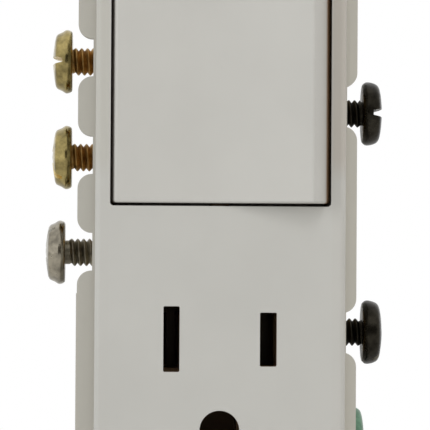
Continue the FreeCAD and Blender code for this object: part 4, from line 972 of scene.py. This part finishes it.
class DEVICE_OT_metalwork(bpy.types.Operator):
    """Finish the strap, the stampings, the contacts and the assembly screws"""

    bl_idname = "device.metalwork"
    bl_label = "Metalwork"

    def execute(self, context):
        colours = context.scene.device_colours
        strap = plated_metal("zinc_sheet", *METALS["zinc_sheet"], ROLLED_GRAIN)
        carried("mounting_strap", strap)
        brass = plated_metal("stamped_brass", *METALS["stamped_brass"])
        # Grime with painted shade on the stampings inside the housing
        grime_and_shade_inside(brass, tuple(colours.grime_and_shade))
        for node in ("ground_contact", "ground_contact_rivet", "neutral_contact", "hot_strip",
                     "upper_traveller", "lower_traveller", "contact_arm"):
            carried(node, brass)
        silver = plated_metal("silver_alloy", *METALS["silver_alloy"])
        for node in ("left_fixed_contact", "right_fixed_contact", "left_arm_contact",
                     "right_arm_contact"):
            carried(node, silver)
        zinc = tuple(colours.zinc)
        fastener = plated_metal("zinc_fastener", zinc, 0.35, shade(zinc, 0.6))
        carried("assembly_screws", fastener)
        return {"FINISHED"}


class DEVICE_OT_plunger_spring(bpy.types.Operator):
    """Build the coil spring that the plunger rides on"""

    bl_idname = "device.plunger_spring"
    bl_label = "Plunger spring"

    def execute(self, context):
        wire = plated_metal("bright_wire", *METALS["bright_wire"])
        coil_spring(context.scene.device_spring, wire)
        return {"FINISHED"}


class DEVICE_OT_terminal_screws(bpy.types.Operator):
    """Build the six threaded terminal screws"""

    bl_idname = "device.terminal_screws"
    bl_label = "Terminal screws"

    def execute(self, context):
        colours = context.scene.device_colours
        brass, zinc = tuple(colours.brass), tuple(colours.zinc)
        black, green = tuple(colours.black), tuple(colours.green)
        rubbed_black = tuple(colours.rubbed_black)
        # Each set is the finish of the head, of the thread and of the drive slot, rubbed bare and
        # painted lighter to stand in for light in the slot
        brass_set = (
            plated_metal("brass_plating", shade(brass, 1.06), 0.18, shade(brass, 0.45)),
            plated_metal("tarnished_brass", *METALS["tarnished_brass"]),
            plated_metal("bare_brass", *METALS["bare_brass"]))
        zinc_set = (
            plated_metal("zinc_plating", shade(zinc, 1.08), 0.18, shade(zinc, 0.5)),
            plated_metal("dark_zinc", *METALS["dark_zinc"]),
            plated_metal("bare_zinc", *METALS["bare_zinc"]))
        black_set = (
            plated_metal("black_oxide", shade(black, 1.35), 0.3, shade(black, 0.45)),
            plated_metal("black_thread", shade(black, 1.7), 0.5, shade(black, 0.9)),
            plated_metal("rubbed_black", rubbed_black, 0.35, shade(black, 1.5)))
        green_set = (
            plated_metal("green_dye", green, 0.35, shade(green, 0.6)),
            plated_metal("green_thread", shade(green, 0.5), 0.5, shade(green, 0.3)),
            plated_metal("rubbed_green", shade(green, 1.5), 0.35, shade(green, 0.6)))
        finishes = {
            "upper_traveller_screw": (brass_set, "screw_brass"),
            "lower_traveller_screw": (brass_set, "screw_brass"),
            "neutral_screw": (zinc_set, "plated_screw"),
            "common_screw": (black_set, "black_screw"),
            "hot_screw": (black_set, "black_screw"),
            "ground_screw": (green_set, "green_screw"),
        }
        sizes = context.scene.device_screws
        for side, names in ((-1, LEFT_SCREWS), (1, RIGHT_SCREWS)):
            for name in names:
                terminal_screw(name, side, sizes, *finishes[name])
        return {"FINISHED"}


class DEVICE_PT_panel(bpy.types.Panel):
    """The device's sizes, colours and steps"""

    bl_idname = "DEVICE_PT_panel"
    bl_label = "Switch and socket"
    bl_space_type = "VIEW_3D"
    bl_region_type = "UI"
    bl_category = "Device"

    def draw(self, context):
        layout = self.layout
        for group_name in GROUPS:
            group = getattr(context.scene, group_name)
            box = layout.box()
            for name in group.bl_rna.properties.keys():
                if name not in ("rna_type", "name"):
                    box.prop(group, name)
        for operator in OPERATORS:
            layout.operator(operator.bl_idname)


OPERATORS = (
    DEVICE_OT_studio,
    DEVICE_OT_mouldings,
    DEVICE_OT_metalwork,
    DEVICE_OT_plunger_spring,
    DEVICE_OT_terminal_screws,
)
GROUPS = {
    "device_screws": TerminalScrewSizes,
    "device_spring": SpringSizes,
    "device_colours": FinishColours,
    "device_studio": StudioSettings,
}


def register():
    for item in (*GROUPS.values(), *OPERATORS, DEVICE_PT_panel):
        bpy.utils.register_class(item)
    for name, group in GROUPS.items():
        setattr(bpy.types.Scene, name, bpy.props.PointerProperty(type=group))


def unregister():
    for name in GROUPS:
        delattr(bpy.types.Scene, name)
    for item in (DEVICE_PT_panel, *reversed(OPERATORS), *reversed(list(GROUPS.values()))):
        bpy.utils.unregister_class(item)


def main():
    register()
    bpy.ops.device.studio()
    bpy.ops.device.mouldings()
    bpy.ops.device.metalwork()
    bpy.ops.device.plunger_spring()
    bpy.ops.device.terminal_screws()


if __name__ == "__main__":
    main()
